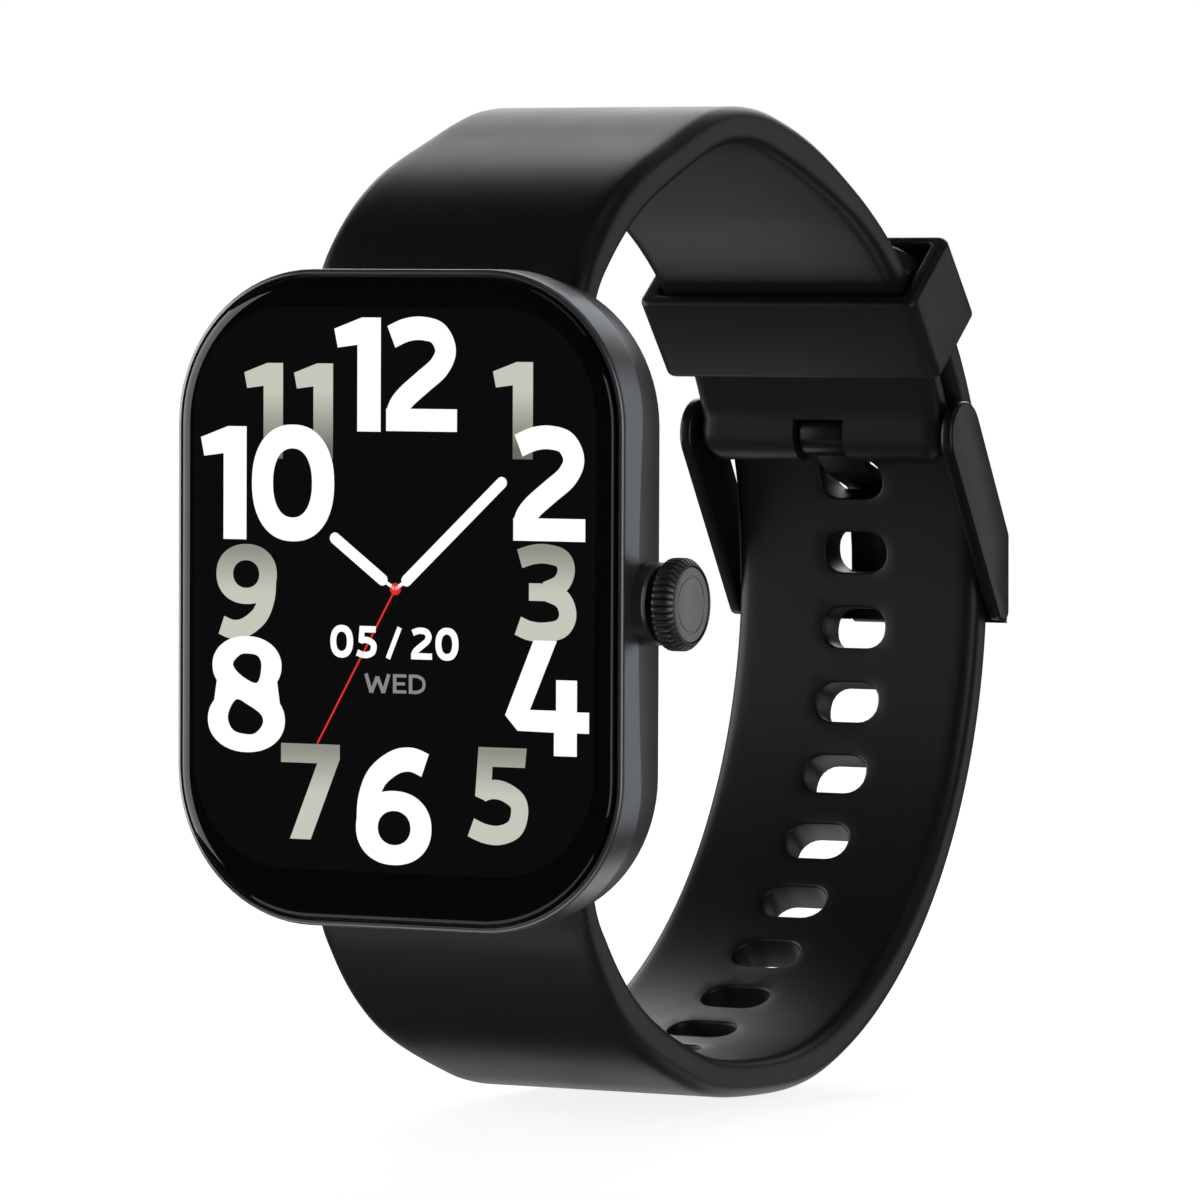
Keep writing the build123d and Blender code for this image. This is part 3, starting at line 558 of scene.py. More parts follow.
def band_outline(band, far_end, tip=None):
    """The strap's outline in plan, anticlockwise in (s, x), with its rim rounding at each point."""
    wide, bend = band.half_width(0) - LUG_CORNER, LUG_END + LUG_CORNER
    top = [(LUG_END, wide * (1 - k / 10), *RIM) for k in range(9, 0, -1)]
    for k in range(7):
        a = radians(180 - 90 * k / 6)
        top.append((bend + LUG_CORNER * cos(a), wide + LUG_CORNER * sin(a), *RIM))
    stop = tip[0] if tip else far_end - LOOP_CORNER
    rows = ceil((stop - bend) / 0.8)
    for k in range(1, rows):
        s = bend + (stop - bend) * k / rows
        top.append((s, band.half_width(s), *RIM))
    half = band.half_width(stop)
    if tip:
        for k in range(28):
            a = radians(90 - 90 * k / 28)
            top.append((tip[0] + tip[1] * cos(a), half * sin(a), *RIM))
        end = (tip[0] + tip[1], 0.0, *RIM)
    else:
        wide = half - LOOP_CORNER
        for k in range(9):
            share = k / 8
            a = radians(90 - 90 * share)
            mix = [r + (LOOP_R - r) * share for r in RIM]
            top.append((stop + LOOP_CORNER * cos(a), wide + LOOP_CORNER * sin(a), *mix))
        top += [(far_end, wide * (1 - k / 10), LOOP_R, LOOP_R, LOOP_R) for k in range(1, 10)]
        end = (far_end, 0.0, LOOP_R, LOOP_R, LOOP_R)
    bottom = [(s, -x, *rest) for s, x, *rest in reversed(top)]
    ring = ([(LUG_END, 0.0, *RIM)] + top + [end] + bottom)[::-1]
    return [(*flat, *p[2:]) for flat, p in zip(with_normals([p[:2] for p in ring]), ring)]


def strap(name, band, outline, holes, body, node):
    verts, faces = band_mesh(band, outline, holes)
    piece = add(name, verts, faces, body, "strap_rubber", [node])
    to_quads(piece)
    return piece


upper_sides = strap_sides(2.1, [(9.0, 23.6), (47.6, 24.8), (20.0, 32.5)], (2.8, 2.7, 2.5), hub,
                          (SHORT_OUT, SHORT_IN), BAR_ANGLE)
upper_band = Band(*upper_sides, False, [(-1, 23, 0.95, 0.6), (18, 40, -0.04, 0.0), (31, 57, 0.5, 0.05)])
upper_band.loop_at = upper_band.length
upper_piece = strap("upper_strap_band", upper_band,
                    band_outline(upper_band, upper_band.length + LOOP_R), [],
                    "upper_band", "upper_strap")

tip_centre = about((hub[0], -hub[1]), TAIL_OUT - TIP_OUT, -TIP_FROM)
lower_sides = strap_sides(3.4, [(9.0, 19.0)], (2.8,), (hub[0], -hub[1]), (TAIL_OUT, TAIL_IN), -TIP_FROM,
                          tip_centre)
lower_band = Band(*lower_sides, True, [(-1, 26, 0.95, 0.6), (26, 48, -0.45, -0.3)])
hub_end = lower_band.length - TIP_STRAIGHT - TIP_OUT * radians(TIP_TURN)
holes = [hole_points(hub_end + TAIL_OUT * radians(HOLE_FIRST - k * HOLE_STEP - TIP_FROM), 5.3 / 2, 3.4 / 2,
                     1.5) for k in range(HOLES)]
lower_piece = strap("lower_strap_band", lower_band,
                    band_outline(lower_band, lower_band.length,
                                 (lower_band.length - TIP_LENGTH, TIP_LENGTH)), holes,
                    "lower_band", "lower_strap")
SLOT_HALF, SLOT_BACK, SLOT_FRONT = 2.15, 1.8, 2.75
ahead = (sin(radians(BAR_ANGLE)), -cos(radians(BAR_ANGLE)))
out = (cos(radians(BAR_ANGLE)), sin(radians(BAR_ANGLE)))
slot_ring = [(bar[0] + out[0] * r + ahead[0] * t, bar[1] + out[1] * r + ahead[1] * t)
             for r, t in ((-3, -SLOT_BACK), (3, -SLOT_BACK), (3, SLOT_FRONT), (-3, SLOT_FRONT))]
cut(upper_piece, [add("tool", *loft([[(x, y, z) for y, z in slot_ring] for x in (-SLOT_HALF, SLOT_HALF)]),
                      None, "adhesive"), rod_tool(*bar, 0.85, -12, 12, 32)])
for piece, side in ((upper_piece, 1), (lower_piece, -1)):
    low, high = sorted((side * (lug[1] - 0.75), side * (lug[1] + 0.75)))
    cut(piece, [box_tool((4.9, lug[0] + 0.2, low), (7.7, 2.2, high))])


# ---- case ----
case_low, case_high = cad("mid_frame")
CASE_W, CASE_H, CASE_R = case_high[0] - case_low[0], case_high[2] - case_low[2], 11.0
FRONT, BACK = case_low[1], case_high[1]
BREAK_Y, BREAK_BOW, BREAK_SPAN = -6.9, 0.9, 17.0
case_loop = rounded(CASE_W, CASE_H, CASE_R, 20, 1.2)


def case_ring(y, inset):
    """A ring round the case at a depth, or at a depth that depends on the height."""
    return [(x - nx * inset, y(x, z) if callable(y) else y, z - nz * inset) for x, z, nx, nz in case_loop]


def break_line(x, z):
    """The bowed edge between the side wall and the rear facet."""
    share = min(1.0, abs(z) / BREAK_SPAN)
    side = min(1.0, max(0.0, (abs(x) - 8) / 6))
    return BREAK_Y - BREAK_BOW * side * (1 - share * share)


def past_break(lift):
    return lambda x, z: break_line(x, z) + lift


frame_rings = [(-9.5, 0.4), (FRONT + 0.08, 0.4), (FRONT + 0.02, 0.37), (FRONT, 0.3), (FRONT + 0.02, 0.22),
               (FRONT + 0.08, 0.12), (FRONT + 0.17, 0.04), (FRONT + 0.3, 0.005), (FRONT + 0.5, 0),
               (past_break(-0.25), 0), (past_break(-0.1), 0.006), (past_break(0.06), 0.03),
               (past_break(0.25), 0.07), (BACK - 0.12, 0.485), (BACK - 0.03, 0.53), (BACK, 0.6),
               (BACK, 1.2), (-9.4, 1.2), (-9.5, 1.1)]
verts, faces = loft([case_ring(y, inset) for y, inset in frame_rings], ring_closed=True)
case_frame = add("case_frame", verts, faces, "case", "frame_metal", ["mid_frame"], sharp=30)
NOTCH_HALF, NOTCH_FROM, NOTCH_IN = 11.15, -4.85, 17.0
MIC_Y, MIC_Z, MIC_R, SIDE_X = -6.6, -8.0, 0.4, CASE_W / 2
tools = []
for side in (1, -1):
    low, high = sorted((side * NOTCH_IN, side * (CASE_H / 2 + 1)))
    tools.append(box_tool((-NOTCH_HALF, NOTCH_FROM, low), (NOTCH_HALF, 0.5, high)))
seal_low, seal_high = cad("crown_seal")
tools += [rod_tool((seal_low[1] + seal_high[1]) / 2, (seal_low[2] + seal_high[2]) / 2,
                   (seal_high[2] - seal_low[2]) / 2 + 0.06, SIDE_X - 3, SIDE_X + 1),
          rod_tool(MIC_Y, MIC_Z, MIC_R, -SIDE_X - 1, 2 - SIDE_X)]
cut(case_frame, tools, 30)

glass_low, glass_high = cad("cover_glass")
GLASS_FRONT, GLASS_BACK = glass_low[1], glass_high[1]
GLASS_IN, DOME, DOME_RISE = 0.55, 1.15, 0.62
glass_rings = [(GLASS_BACK, GLASS_IN + 0.15), (GLASS_BACK - 0.15, GLASS_IN)]
glass_top = GLASS_FRONT + 0.03
glass_rings += [(glass_top + DOME_RISE * reach, GLASS_IN + DOME * sink) for reach, sink in quarter(12)]
verts, faces = loft([case_ring(y, inset) for y, inset in glass_rings])
add("front_glass", verts, faces, "case", "cover_glass", ["cover_glass"], sharp=50)


# ---- dial ----
def smooth_line(points, closed=False, steps=9):
    """A Catmull-Rom line through points."""
    made = []
    count = len(points)
    for k in range(count if closed else count - 1):
        if closed:
            p = [points[(k + i) % count] for i in (-1, 0, 1, 2)]
        else:
            p = [points[max(0, k - 1)], points[k], points[k + 1], points[min(count - 1, k + 2)]]
        for i in range(steps):
            t = i / steps
            made.append(tuple(
                0.5 * (2 * p[1][m] + (p[2][m] - p[0][m]) * t
                       + (2 * p[0][m] - 5 * p[1][m] + 4 * p[2][m] - p[3][m]) * t * t
                       + (3 * p[1][m] - p[0][m] - 3 * p[2][m] + p[3][m]) * t**3)
                for m in (0, 1)))
    if not closed:
        made.append(points[-1])
    return made


def sides(line, width):
    """The points to the left and to the right of a line, half a width from it."""
    left, right = [], []
    for k, (x, y) in enumerate(line):
        a, b = line[max(0, k - 1)], line[min(len(line) - 1, k + 1)]
        length = hypot(b[0] - a[0], b[1] - a[1]) or 1
        nx, ny = -(b[1] - a[1]) / length * width / 2, (b[0] - a[0]) / length * width / 2
        left.append((x + nx, y + ny))
        right.append((x - nx, y - ny))
    return left, right


def stroke(line, width):
    """The quads of a line drawn with a flat pen, as small closed loops that share their edges."""
    left, right = sides(line, width)
    return [[left[k], left[k + 1], right[k + 1], right[k]] for k in range(len(line) - 1)]


def ellipse(x, y, rx, ry, power=2.3, count=64):
    made = []
    for k in range(count):
        c, s = cos(2 * pi * k / count), sin(2 * pi * k / count)
        made.append((x + rx * abs(c) ** (2 / power) * (1 if c >= 0 else -1),
                     y + ry * abs(s) ** (2 / power) * (1 if s >= 0 else -1)))
    return made


def digit(figure, pen=0.205):
    """The loops of a figure of height 1 whose left edge is at 0, and the loops cut out of it."""
    if figure == "1":
        return [[(0, 0.9), (0.035, 0.735), (0.235, 0.76), (0.235, 0), (0.47, 0), (0.47, 1), (0.28, 1)]], []
    if figure == "2":
        spine = smooth_line([(0.05, 0.825), (0.2, 0.885), (0.36, 0.9), (0.52, 0.855), (0.595, 0.71),
                             (0.53, 0.565), (0.37, 0.435), (0.2, 0.3), (0.115, 0.19), (0.105, 0.06)])
        return stroke(spine, pen) + [[(0, 0), (0.71, 0), (0.71, 0.197), (0, 0.197)]], []
    if figure == "3":
        spine = smooth_line([(0.05, 0.85), (0.2, 0.895), (0.36, 0.905), (0.54, 0.86), (0.595, 0.74),
                             (0.53, 0.6), (0.36, 0.52)])
        spine2 = smooth_line([(0.36, 0.52), (0.55, 0.44), (0.615, 0.28), (0.54, 0.145), (0.35, 0.1),
                              (0.17, 0.11), (0.03, 0.16)])
        return stroke(spine, pen) + stroke(spine2, pen) + [[(0.16, 0.42), (0.45, 0.42), (0.45, 0.6),
                                                            (0.16, 0.6)]], []
    if figure == "4":
        return [[(0.28, 1), (0.51, 1), (0.245, 0.394), (0.505, 0.394), (0.505, 0.66), (0.71, 0.66),
                 (0.71, 0.386), (0.83, 0.386), (0.83, 0.203), (0.71, 0.203), (0.71, 0), (0.485, 0),
                 (0.485, 0.203), (0.125, 0.209), (0, 0.342)]], []
    if figure == "5":
        spine = smooth_line([(0.17, 0.535), (0.28, 0.565), (0.42, 0.55), (0.575, 0.46), (0.61, 0.33),
                             (0.55, 0.17), (0.38, 0.095), (0.2, 0.105), (0.035, 0.165)])
        return stroke(spine, pen) + [[(0.123, 1), (0.3, 1), (0.277, 0.62), (0.22, 0.44), (0.085, 0.49)],
                                     [(0.123, 1), (0.69, 1), (0.67, 0.8), (0.123, 0.8)]], []
    if figure in "69":
        spine = smooth_line([(0.67, 0.855), (0.53, 0.9), (0.37, 0.87), (0.2, 0.74), (0.12, 0.55),
                             (0.105, 0.35)])
        ring = ellipse(0.365, 0.315, 0.368, 0.315, 2.15)
        hole = ellipse(0.37, 0.315, 0.16, 0.145, 2.1)
        loops, cuts = stroke(spine, pen) + [ring], [hole]
        if figure == "9":
            loops = [[(0.735 - x, 1 - y) for x, y in loop] for loop in loops]
            cuts = [[(0.735 - x, 1 - y) for x, y in loop] for loop in cuts]
        return loops, cuts
    if figure == "7":
        return [[(0, 1), (0.71, 1), (0.71, 0.85), (0.36, 0), (0.11, 0), (0.44, 0.8), (0, 0.8)]], []
    if figure == "8":
        top, low = ellipse(0.39, 0.745, 0.345, 0.255, 2.1), ellipse(0.385, 0.28, 0.385, 0.28, 2.1)
        waist = [(0.09, 0.62), (0.69, 0.62), (0.72, 0.42), (0.06, 0.42)]
        top_hole = smooth_line([(0.25, 0.75), (0.31, 0.83), (0.39, 0.85), (0.5, 0.83), (0.535, 0.74),
                                (0.49, 0.6), (0.34, 0.655)], True)
        low_hole = smooth_line([(0.2, 0.31), (0.28, 0.45), (0.4, 0.41), (0.53, 0.33), (0.55, 0.25),
                                (0.48, 0.17), (0.385, 0.155), (0.25, 0.19)], True)
        return [top, low, waist], [top_hole, low_hole]
    return [ellipse(0.42, 0.5, 0.42, 0.515, 2.25)], [ellipse(0.415, 0.5, 0.2, 0.305, 2.25)]


def wind(point, loop):
    """How many times a loop winds round a point."""
    x, y = point
    turns = 0
    for k in range(len(loop)):
        (ax, ay), (bx, by) = loop[k - 1], loop[k]
        cross = (bx - ax) * (y - ay) - (x - ax) * (by - ay)
        if ay <= y < by and cross > 0:
            turns += 1
        elif by <= y < ay and cross < 0:
            turns -= 1
    return turns


def dial_piece(name, shapes, look, front, thick):
    """One flat raised piece from (loops, cuts) shapes in (X, Z), with clean joined outlines."""
    verts, faces = [], []
    for loops, cuts in shapes:
        flat, edges = [], []
        for loop in loops + cuts:
            base = len(flat)
            flat += [Vector(p) for p in loop]
            edges += [(base + i, base + (i + 1) % len(loop)) for i in range(len(loop))]
        points, _, triangles, _, _, _ = delaunay_2d_cdt(flat, edges, [], 0, 1e-5)
        first = len(verts)
        verts += [(p.x, front, p.y) for p in points]
        for t in triangles:
            middle = (sum(points[k].x for k in t) / 3, sum(points[k].y for k in t) / 3)
            if any(wind(middle, c) for c in cuts) or not any(wind(middle, c) for c in loops):
                continue
            faces.append(tuple(first + k for k in t))
    piece = add(name, verts, faces, None, "display", look=look)
    bm = bmesh.new()
    bm.from_mesh(piece.data)
    bmesh.ops.delete(bm, geom=[v for v in bm.verts if not v.link_faces], context="VERTS")
    bmesh.ops.dissolve_limit(bm, angle_limit=radians(1), verts=bm.verts, edges=bm.edges)
    made = bmesh.ops.extrude_face_region(bm, geom=list(bm.faces))
    moved = [v for v in made["geom"] if isinstance(v, bmesh.types.BMVert)]
    bmesh.ops.translate(bm, vec=(0, thick * MM, 0), verts=moved)
    bmesh.ops.recalc_face_normals(bm, faces=bm.faces)
    bm.to_mesh(piece.data)
    bm.free()
    smooth(piece.data, 20)
    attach(piece, "case")
    return piece


def placed(figure, left, base, height, wide=1.0, pen=0.205):
    loops, cuts = digit(figure, pen)
    move = [[[(left + x * height * wide, base + y * height) for x, y in loop] for loop in group]
            for group in (loops, cuts)]
    return move[0], move[1]


BIG, SMALL, DATE = 8.0, 6.75, 2.24
TOP = GLASS_FRONT
white_digits = [("1", -4.69, 11.8, 1.0), ("2", -0.47, 11.86, 1.0), ("2", 9.74, 4.37, 1.0),
                ("4", 9.14, -10.53, 1.0), ("6", -2.8, -18.6, 1.035), ("8", -15.0, -11.04, 1.03),
                ("1", -15.62, 4.05, 1.0), ("0", -11.4, 4.1, 1.0)]
shapes = [placed(f, x, z, BIG * tall) for f, x, z, tall in white_digits]
date_line = [("0", -4.95, 0.98), ("5", -2.86, 1.05), ("2", 1.6, 1.05), ("0", 3.55, 0.98)]
for figure, x, wide in date_line:
    shapes.append(placed(figure, x, -4.1, DATE, wide, 0.2))
shapes.append((stroke([(-0.28, -4.1), (0.66, -1.9)], 0.36), []))
pivot = (0.31, 0.79)


def hand(root, tip, width):
    """A bar with round ends and a thin neck to the pivot."""
    return (stroke([root, tip], width) + [disc(*root, width / 2), disc(*tip, width / 2)]
            + stroke([pivot, root], 0.24), [])


shapes += [hand((1.2, 1.4), (8.8, 8.37), 0.82), hand((-0.74, 1.42), (-4.6, 4.26), 0.82)]
dial_piece("dial_white", shapes, white_lit, TOP, 0.02)
# grey figures: the ones fade towards their feet, the others towards their heads
BRIGHT, DIM, MIDDLE = (0.56, 0.57, 0.49), (0.14, 0.145, 0.12), (0.27, 0.275, 0.235)
grey = [("1", 8.08, 10.03), ("3", 9.92, -2.62), ("5", 6.2, -16.83), ("7", -8.96, -17.04),
        ("9", -14.33, -3.03), ("1", -12.05, 9.8), ("1", -7.97, 9.8)]
for k, (figure, x, z) in enumerate(grey):
    if figure == "1":
        look = lit(f"dial_grey_lit_{k}", DIM, BRIGHT, z + 0.1 * SMALL, z + 0.7 * SMALL)
    else:
        look = lit(f"dial_grey_lit_{k}", BRIGHT, MIDDLE, z + 0.5 * SMALL, z + 0.95 * SMALL)
    dial_piece(f"dial_hour_{k}", [placed(figure, x, z, SMALL, 1.0, 0.2)], look, TOP + 0.006, 0.015)
w_line = [(-2.05, -5.2), (-1.62, -6.52), (-1.13, -5.4), (-0.64, -6.52), (-0.2, -5.2)]
weekday = [(stroke([w_line[k], w_line[k + 1]], 0.27), []) for k in range(4)]
weekday += [([[(0.14, -6.52), (0.41, -6.52), (0.41, -5.18), (0.14, -5.18)],
              [(0.14, -6.52), (1.22, -6.52), (1.22, -6.3), (0.14, -6.3)],
              [(0.14, -5.96), (1.1, -5.96), (1.1, -5.74), (0.14, -5.74)],
              [(0.14, -5.4), (1.22, -5.4), (1.22, -5.18), (0.14, -5.18)]], [])]
bow = smooth_line([(1.55, -5.29), (2.1, -5.3), (2.52, -5.5), (2.64, -5.85), (2.52, -6.2), (2.1, -6.4),
                   (1.55, -6.41)])
weekday += [(stroke(bow, 0.23) + [[(1.42, -6.52), (1.69, -6.52), (1.69, -5.18), (1.42, -5.18)]], [])]
weekday = [([loop for shape in weekday for loop in shape[0]], [])]
dial_piece("dial_weekday", weekday, soft_lit, TOP, 0.02)
dial_piece("dial_seconds", [(stroke([pivot, (-6.0, -10.25)], 0.13) + [disc(*pivot, 0.43)], [])], red_lit,
           TOP, 0.02)
dial_piece("dial_field", [([[(x, z + 0.68) for x, z, _, _ in rounded(32.4, 39.7, 7.6, 14)]], [])], field_lit,
           TOP + 0.022, 0.006)

# ---- crown ----
knob_low, knob_high = cad("crown_knob")
CROWN_Y, CROWN_Z = axis_at("crown_turn")
KNOB_FROM, KNOB_TO, KNOB_R = knob_low[0], knob_high[0], (knob_high[2] - knob_low[2]) / 2
FLUTES, GROOVE = 40, 0.17
flute = [(0, 1.0), (0.07, 0.9), (0.14, 0.45), (0.22, 0.1), (0.3, 0), (0.5, -0.02), (0.7, 0), (0.78, 0.1),
         (0.86, 0.45), (0.93, 0.9)]


def spin(profile):
    """Rings about the crown's axis from (x, radius, groove share) rows."""
    rings = []
    for x, radius, share in profile:
        ring = []
        for k in range(FLUTES):
            for place, depth in flute:
                a = 2 * pi * (k + place) / FLUTES
                r = radius - GROOVE * share * depth
                ring.append((x, CROWN_Y + r * cos(a), CROWN_Z + r * sin(a)))
        rings.append(ring)
    return rings


SEAT = KNOB_TO - 0.35
near = [(0, 0.5, 0), (0.03, 0.4, 0.3), (0.15, 0.12, 0.8), (0.27, 0.02, 1), (0.4, 0, 1)]
far = [(0.55, 0, 1), (0.45, 0.03, 1), (0.3, 0.14, 0.9), (0.1, 0.33, 0.45), (0.02, 0.42, 0.1), (0, 0.48, 0)]
knob = spin([(SEAT, 0.62, 0), (KNOB_FROM, 0.62, 0)]
            + [(KNOB_FROM + x, KNOB_R - r, share) for x, r, share in near]
            + [(KNOB_TO - x, KNOB_R - r, share) for x, r, share in far]
            + [(KNOB_TO, 2.74, 0), (KNOB_TO - 0.04, 2.7, 0), (SEAT, 2.7, 0)])
verts, faces = loft(knob, ring_closed=True)
add("crown_grip", verts, faces, "crown_wheel", "crown_metal", ["crown_knob"], sharp=40)


def lathe(profile, count=96):
    """Rings about the crown's axis from (x, radius) rows."""
    return [[(x, y, z) for y, z in disc(CROWN_Y, CROWN_Z, r, count)] for x, r in profile]


CAP = cad("crown_cap")[1][0]
verts, faces = loft(lathe([(SEAT, 2.62), (CAP - 0.08, 2.64), (CAP - 0.02, 2.6), (CAP, 2.54), (CAP, 2.06),
                           (CAP - 0.05, 2.02), (CAP - 0.05, 1.9), (CAP, 1.86), (CAP - 0.03, 1.2),
                           (CAP - 0.05, 0.6)]))
add("crown_end_disc", verts, faces, "crown_wheel", "crown_disc", ["crown_cap"], sharp=35)


# ---- keeper ----
KEEPER_ANGLE, FORE, AFT = 39.3, 3.6, 3.9
KEEPER_IN, KEEPER_OUT, KEEPER_HALF = 29.2, 37.6, 11.85
ROOM_IN, ROOM_OUT, ROOM_HALF = 30.35, 36.75, 10.55


def at_keeper(x, v, u):
    """A place from x, distance v from the hub and distance u along the keeper."""
    c, s = cos(radians(KEEPER_ANGLE)), sin(radians(KEEPER_ANGLE))
    return x, hub[0] + v * c - u * s, hub[1] + v * s + u * c


KEEPER_CORNER, ROOM_CORNER, RIM_OUT, RIM_IN = 0.95, 0.35, 0.42, 0.3
middle_v = (KEEPER_IN + KEEPER_OUT) / 2
outer_loop = rounded(2 * KEEPER_HALF, KEEPER_OUT - KEEPER_IN, KEEPER_CORNER, 8, 1.0)
core_x, core_v = KEEPER_HALF - KEEPER_CORNER, (KEEPER_OUT - KEEPER_IN) / 2 - KEEPER_CORNER
room_x, room_v = ROOM_HALF - ROOM_CORNER, (ROOM_OUT - ROOM_IN) / 2 - ROOM_CORNER
shift = (ROOM_IN + ROOM_OUT) / 2 - middle_v
inner_loop = [(max(-1, min(1, x / core_x)) * room_x + nx * ROOM_CORNER,
               max(-1, min(1, v / core_v)) * room_v + shift + nv * ROOM_CORNER)
              for x, v, nx, nv in outer_loop]
stations = []
for end, way in ((-AFT, 1), (FORE, -1)):
    rows = [(end + way * RIM_OUT * reach, False, RIM_OUT * sink) for reach, sink in quarter(5)]
    rows += [(end + way * RIM_IN * reach, True, RIM_IN * sink) for reach, sink in reversed(quarter(5))]
    stations += rows[::way]


def keeper_ring(u, inner_side, inset):
    """The keeper's outline at a place along it, a little in from its outer or its inner wall."""
    ring = []
    for (x, v, nx, nv), (ix, iv) in zip(outer_loop, inner_loop):
        gap = hypot(ix - x, iv - v)
        share = inset / gap if not inner_side else 1 - inset / gap
        ring.append(at_keeper(x + (ix - x) * share, middle_v + v + (iv - v) * share, u))
    return ring


verts, faces = loft([keeper_ring(*row) for row in stations], ring_closed=True)
add("keeper_loop", verts, faces, "keeper", "strap_rubber", ["strap_keeper"], sharp=35)

# ---- buckle ----
ARM_HALF, ARM_T, ARM_OUT, FOOT_R = 11.8, 1.0, 38.0, 0.8
OUTER_BAR_FROM, OUTER_BAR_TO, OUTER_BAR_IN, OUTER_BAR_OUT = -5.2, -1.5, 37.6, 38.3


def hull(points):
    """The convex outline of points, anticlockwise."""
    ordered = sorted(set((round(x, 4), round(y, 4)) for x, y in points))
    sides = []
    for line in (ordered, ordered[::-1]):
        side = []
        for p in line:
            while len(side) > 1 and ((side[-1][0] - side[-2][0]) * (p[1] - side[-2][1])
                                     - (side[-1][1] - side[-2][1]) * (p[0] - side[-2][0])) <= 0:
                side.pop()
            side.append(p)
        sides += side[:-1]
    return sides


def spread_out(loop, step):
    """The same outline with long sides divided."""
    made = []
    for k, a in enumerate(loop):
        b = loop[(k + 1) % len(loop)]
        parts = max(1, ceil(hypot(b[0] - a[0], b[1] - a[1]) / step))
        made += [(a[0] + (b[0] - a[0]) * i / parts, a[1] + (b[1] - a[1]) * i / parts) for i in range(parts)]
    return made


foot_angle = OUTER_BAR_FROM + 1.4
feet = [about(hub, ARM_OUT - FOOT_R - 0.5, foot_angle), about(hub, ARM_OUT - FOOT_R, foot_angle),
        about(hub, ARM_OUT - FOOT_R, 5.0)]
rims = disc(*bar, 2.7, 48)
for foot in feet:
    rims += disc(*foot, FOOT_R, 32)
arm = spread_out(hull(rims), 0.6)
verts, faces = [], []
for x0, x1 in ((ARM_HALF - ARM_T, ARM_HALF), (-ARM_HALF, ARM_T - ARM_HALF)):
    more_verts, more_faces = loft(plate_across(arm, x0, x1, 0.3))
    faces += [tuple(i + len(verts) for i in f) for f in more_faces]
    verts += more_verts
span = [OUTER_BAR_FROM + (OUTER_BAR_TO - OUTER_BAR_FROM) * k / 8 for k in range(9)]
section = [about(hub, OUTER_BAR_OUT, a) for a in span] + [about(hub, OUTER_BAR_IN, a) for a in reversed(span)]
more_verts, more_faces = loft(plate_across(spread_out(section, 0.25), 0.3 - ARM_HALF, ARM_HALF - 0.3,
                                           0.16, 3))
outer_bar = add("outer_bar_tmp", more_verts, more_faces, None, "buckle_metal", sharp=30)
buckle = add("buckle_arms", verts, faces, "buckle", "buckle_metal", ["buckle_frame"], sharp=30)
combine(buckle, outer_bar, "UNION")
seat = [about(hub, 37.75, a) for a in (-7, 0)] + [about(hub, 39.5, a) for a in (0, -7)]
cut(buckle, [prism_tool(seat, -2.1, 2.1), rod_tool(*bar, 0.52, -11.4, 11.4)], 30)

EYE_R, TONGUE_T, TONGUE_HALF = 1.65, 0.9, 1.95
hole = HOLE_FIRST - TONGUE_HOLE * HOLE_STEP
route = [(bar[0] - 0.45, bar[1] - 1.1), about(hub, TAIL_IN - 0.2, hole + 1.4),
         about(hub, TAIL_OUT + 0.62, hole - 2.0), about(hub, TAIL_OUT + 0.7, 3.5),
         about(hub, 38.42, OUTER_BAR_FROM + 0.4)]


def rounded_line(points, radius, steps=6):
    """A line whose corners are arcs."""
    made = [points[0]]
    for a, b, c in zip(points, points[1:], points[2:]):
        u = Vector((a[0] - b[0], a[1] - b[1])).normalized()
        v = Vector((c[0] - b[0], c[1] - b[1])).normalized()
        half = acos(max(-1, min(1, u.dot(v)))) / 2
        reach = radius * cos(half) / sin(half)
        axis = (u + v).normalized() if (u + v).length > 1e-6 else Vector((0, 0))
        centre = Vector(b) + axis * (radius / sin(half))
        p, q = Vector(b) + u * reach, Vector(b) + v * reach
        for k in range(steps + 1):
            t = k / steps
            m = p.lerp(q, t) - centre
            made.append(tuple(centre + m.normalized() * radius))
    return made + [points[-1]]


line = rounded_line(route, 1.1)
left, right = sides(line, TONGUE_T)
keep = [k for k in range(len(line)) if hypot(left[k][0] - bar[0], left[k][1] - bar[1]) > EYE_R
        and hypot(right[k][0] - bar[0], right[k][1] - bar[1]) > EYE_R]
left, right = [left[k] for k in keep], [right[k] for k in keep]
EYE_GAP = 0.16
start = atan2(right[0][1] - bar[1], right[0][0] - bar[0])
turn = (atan2(left[0][1] - bar[1], left[0][0] - bar[0]) - start) % (2 * pi)
if turn < pi:
    turn -= 2 * pi
way = 1 if turn > 0 else -1
eye = [about(bar, EYE_R, degrees(start + EYE_GAP * way + (turn - 2 * EYE_GAP * way) * k / 36))
       for k in range(37)]
end, before = line[-1], line[-2]
heading = atan2(end[1] - before[1], end[0] - before[0])
nose = [(end[0] + TONGUE_T / 2 * cos(heading + a), end[1] + TONGUE_T / 2 * sin(heading + a))
        for a in [pi / 2 - pi * k / 8 for k in range(1, 8)]]
outline = left + nose + right[::-1] + eye
area = sum(outline[k - 1][0] * p[1] - p[0] * outline[k - 1][1] for k, p in enumerate(outline))
if area < 0:
    outline = outline[::-1]
outline = spread_out(outline, 0.5)
verts, faces = loft(plate_across(outline, -TONGUE_HALF, TONGUE_HALF, 0.2, 3))
tongue = add("tongue_plate", verts, faces, "tongue", "buckle_metal", ["buckle_tongue"], sharp=35)
cut(tongue, [rod_tool(*bar, 0.86, -3, 3, 32)], 35)

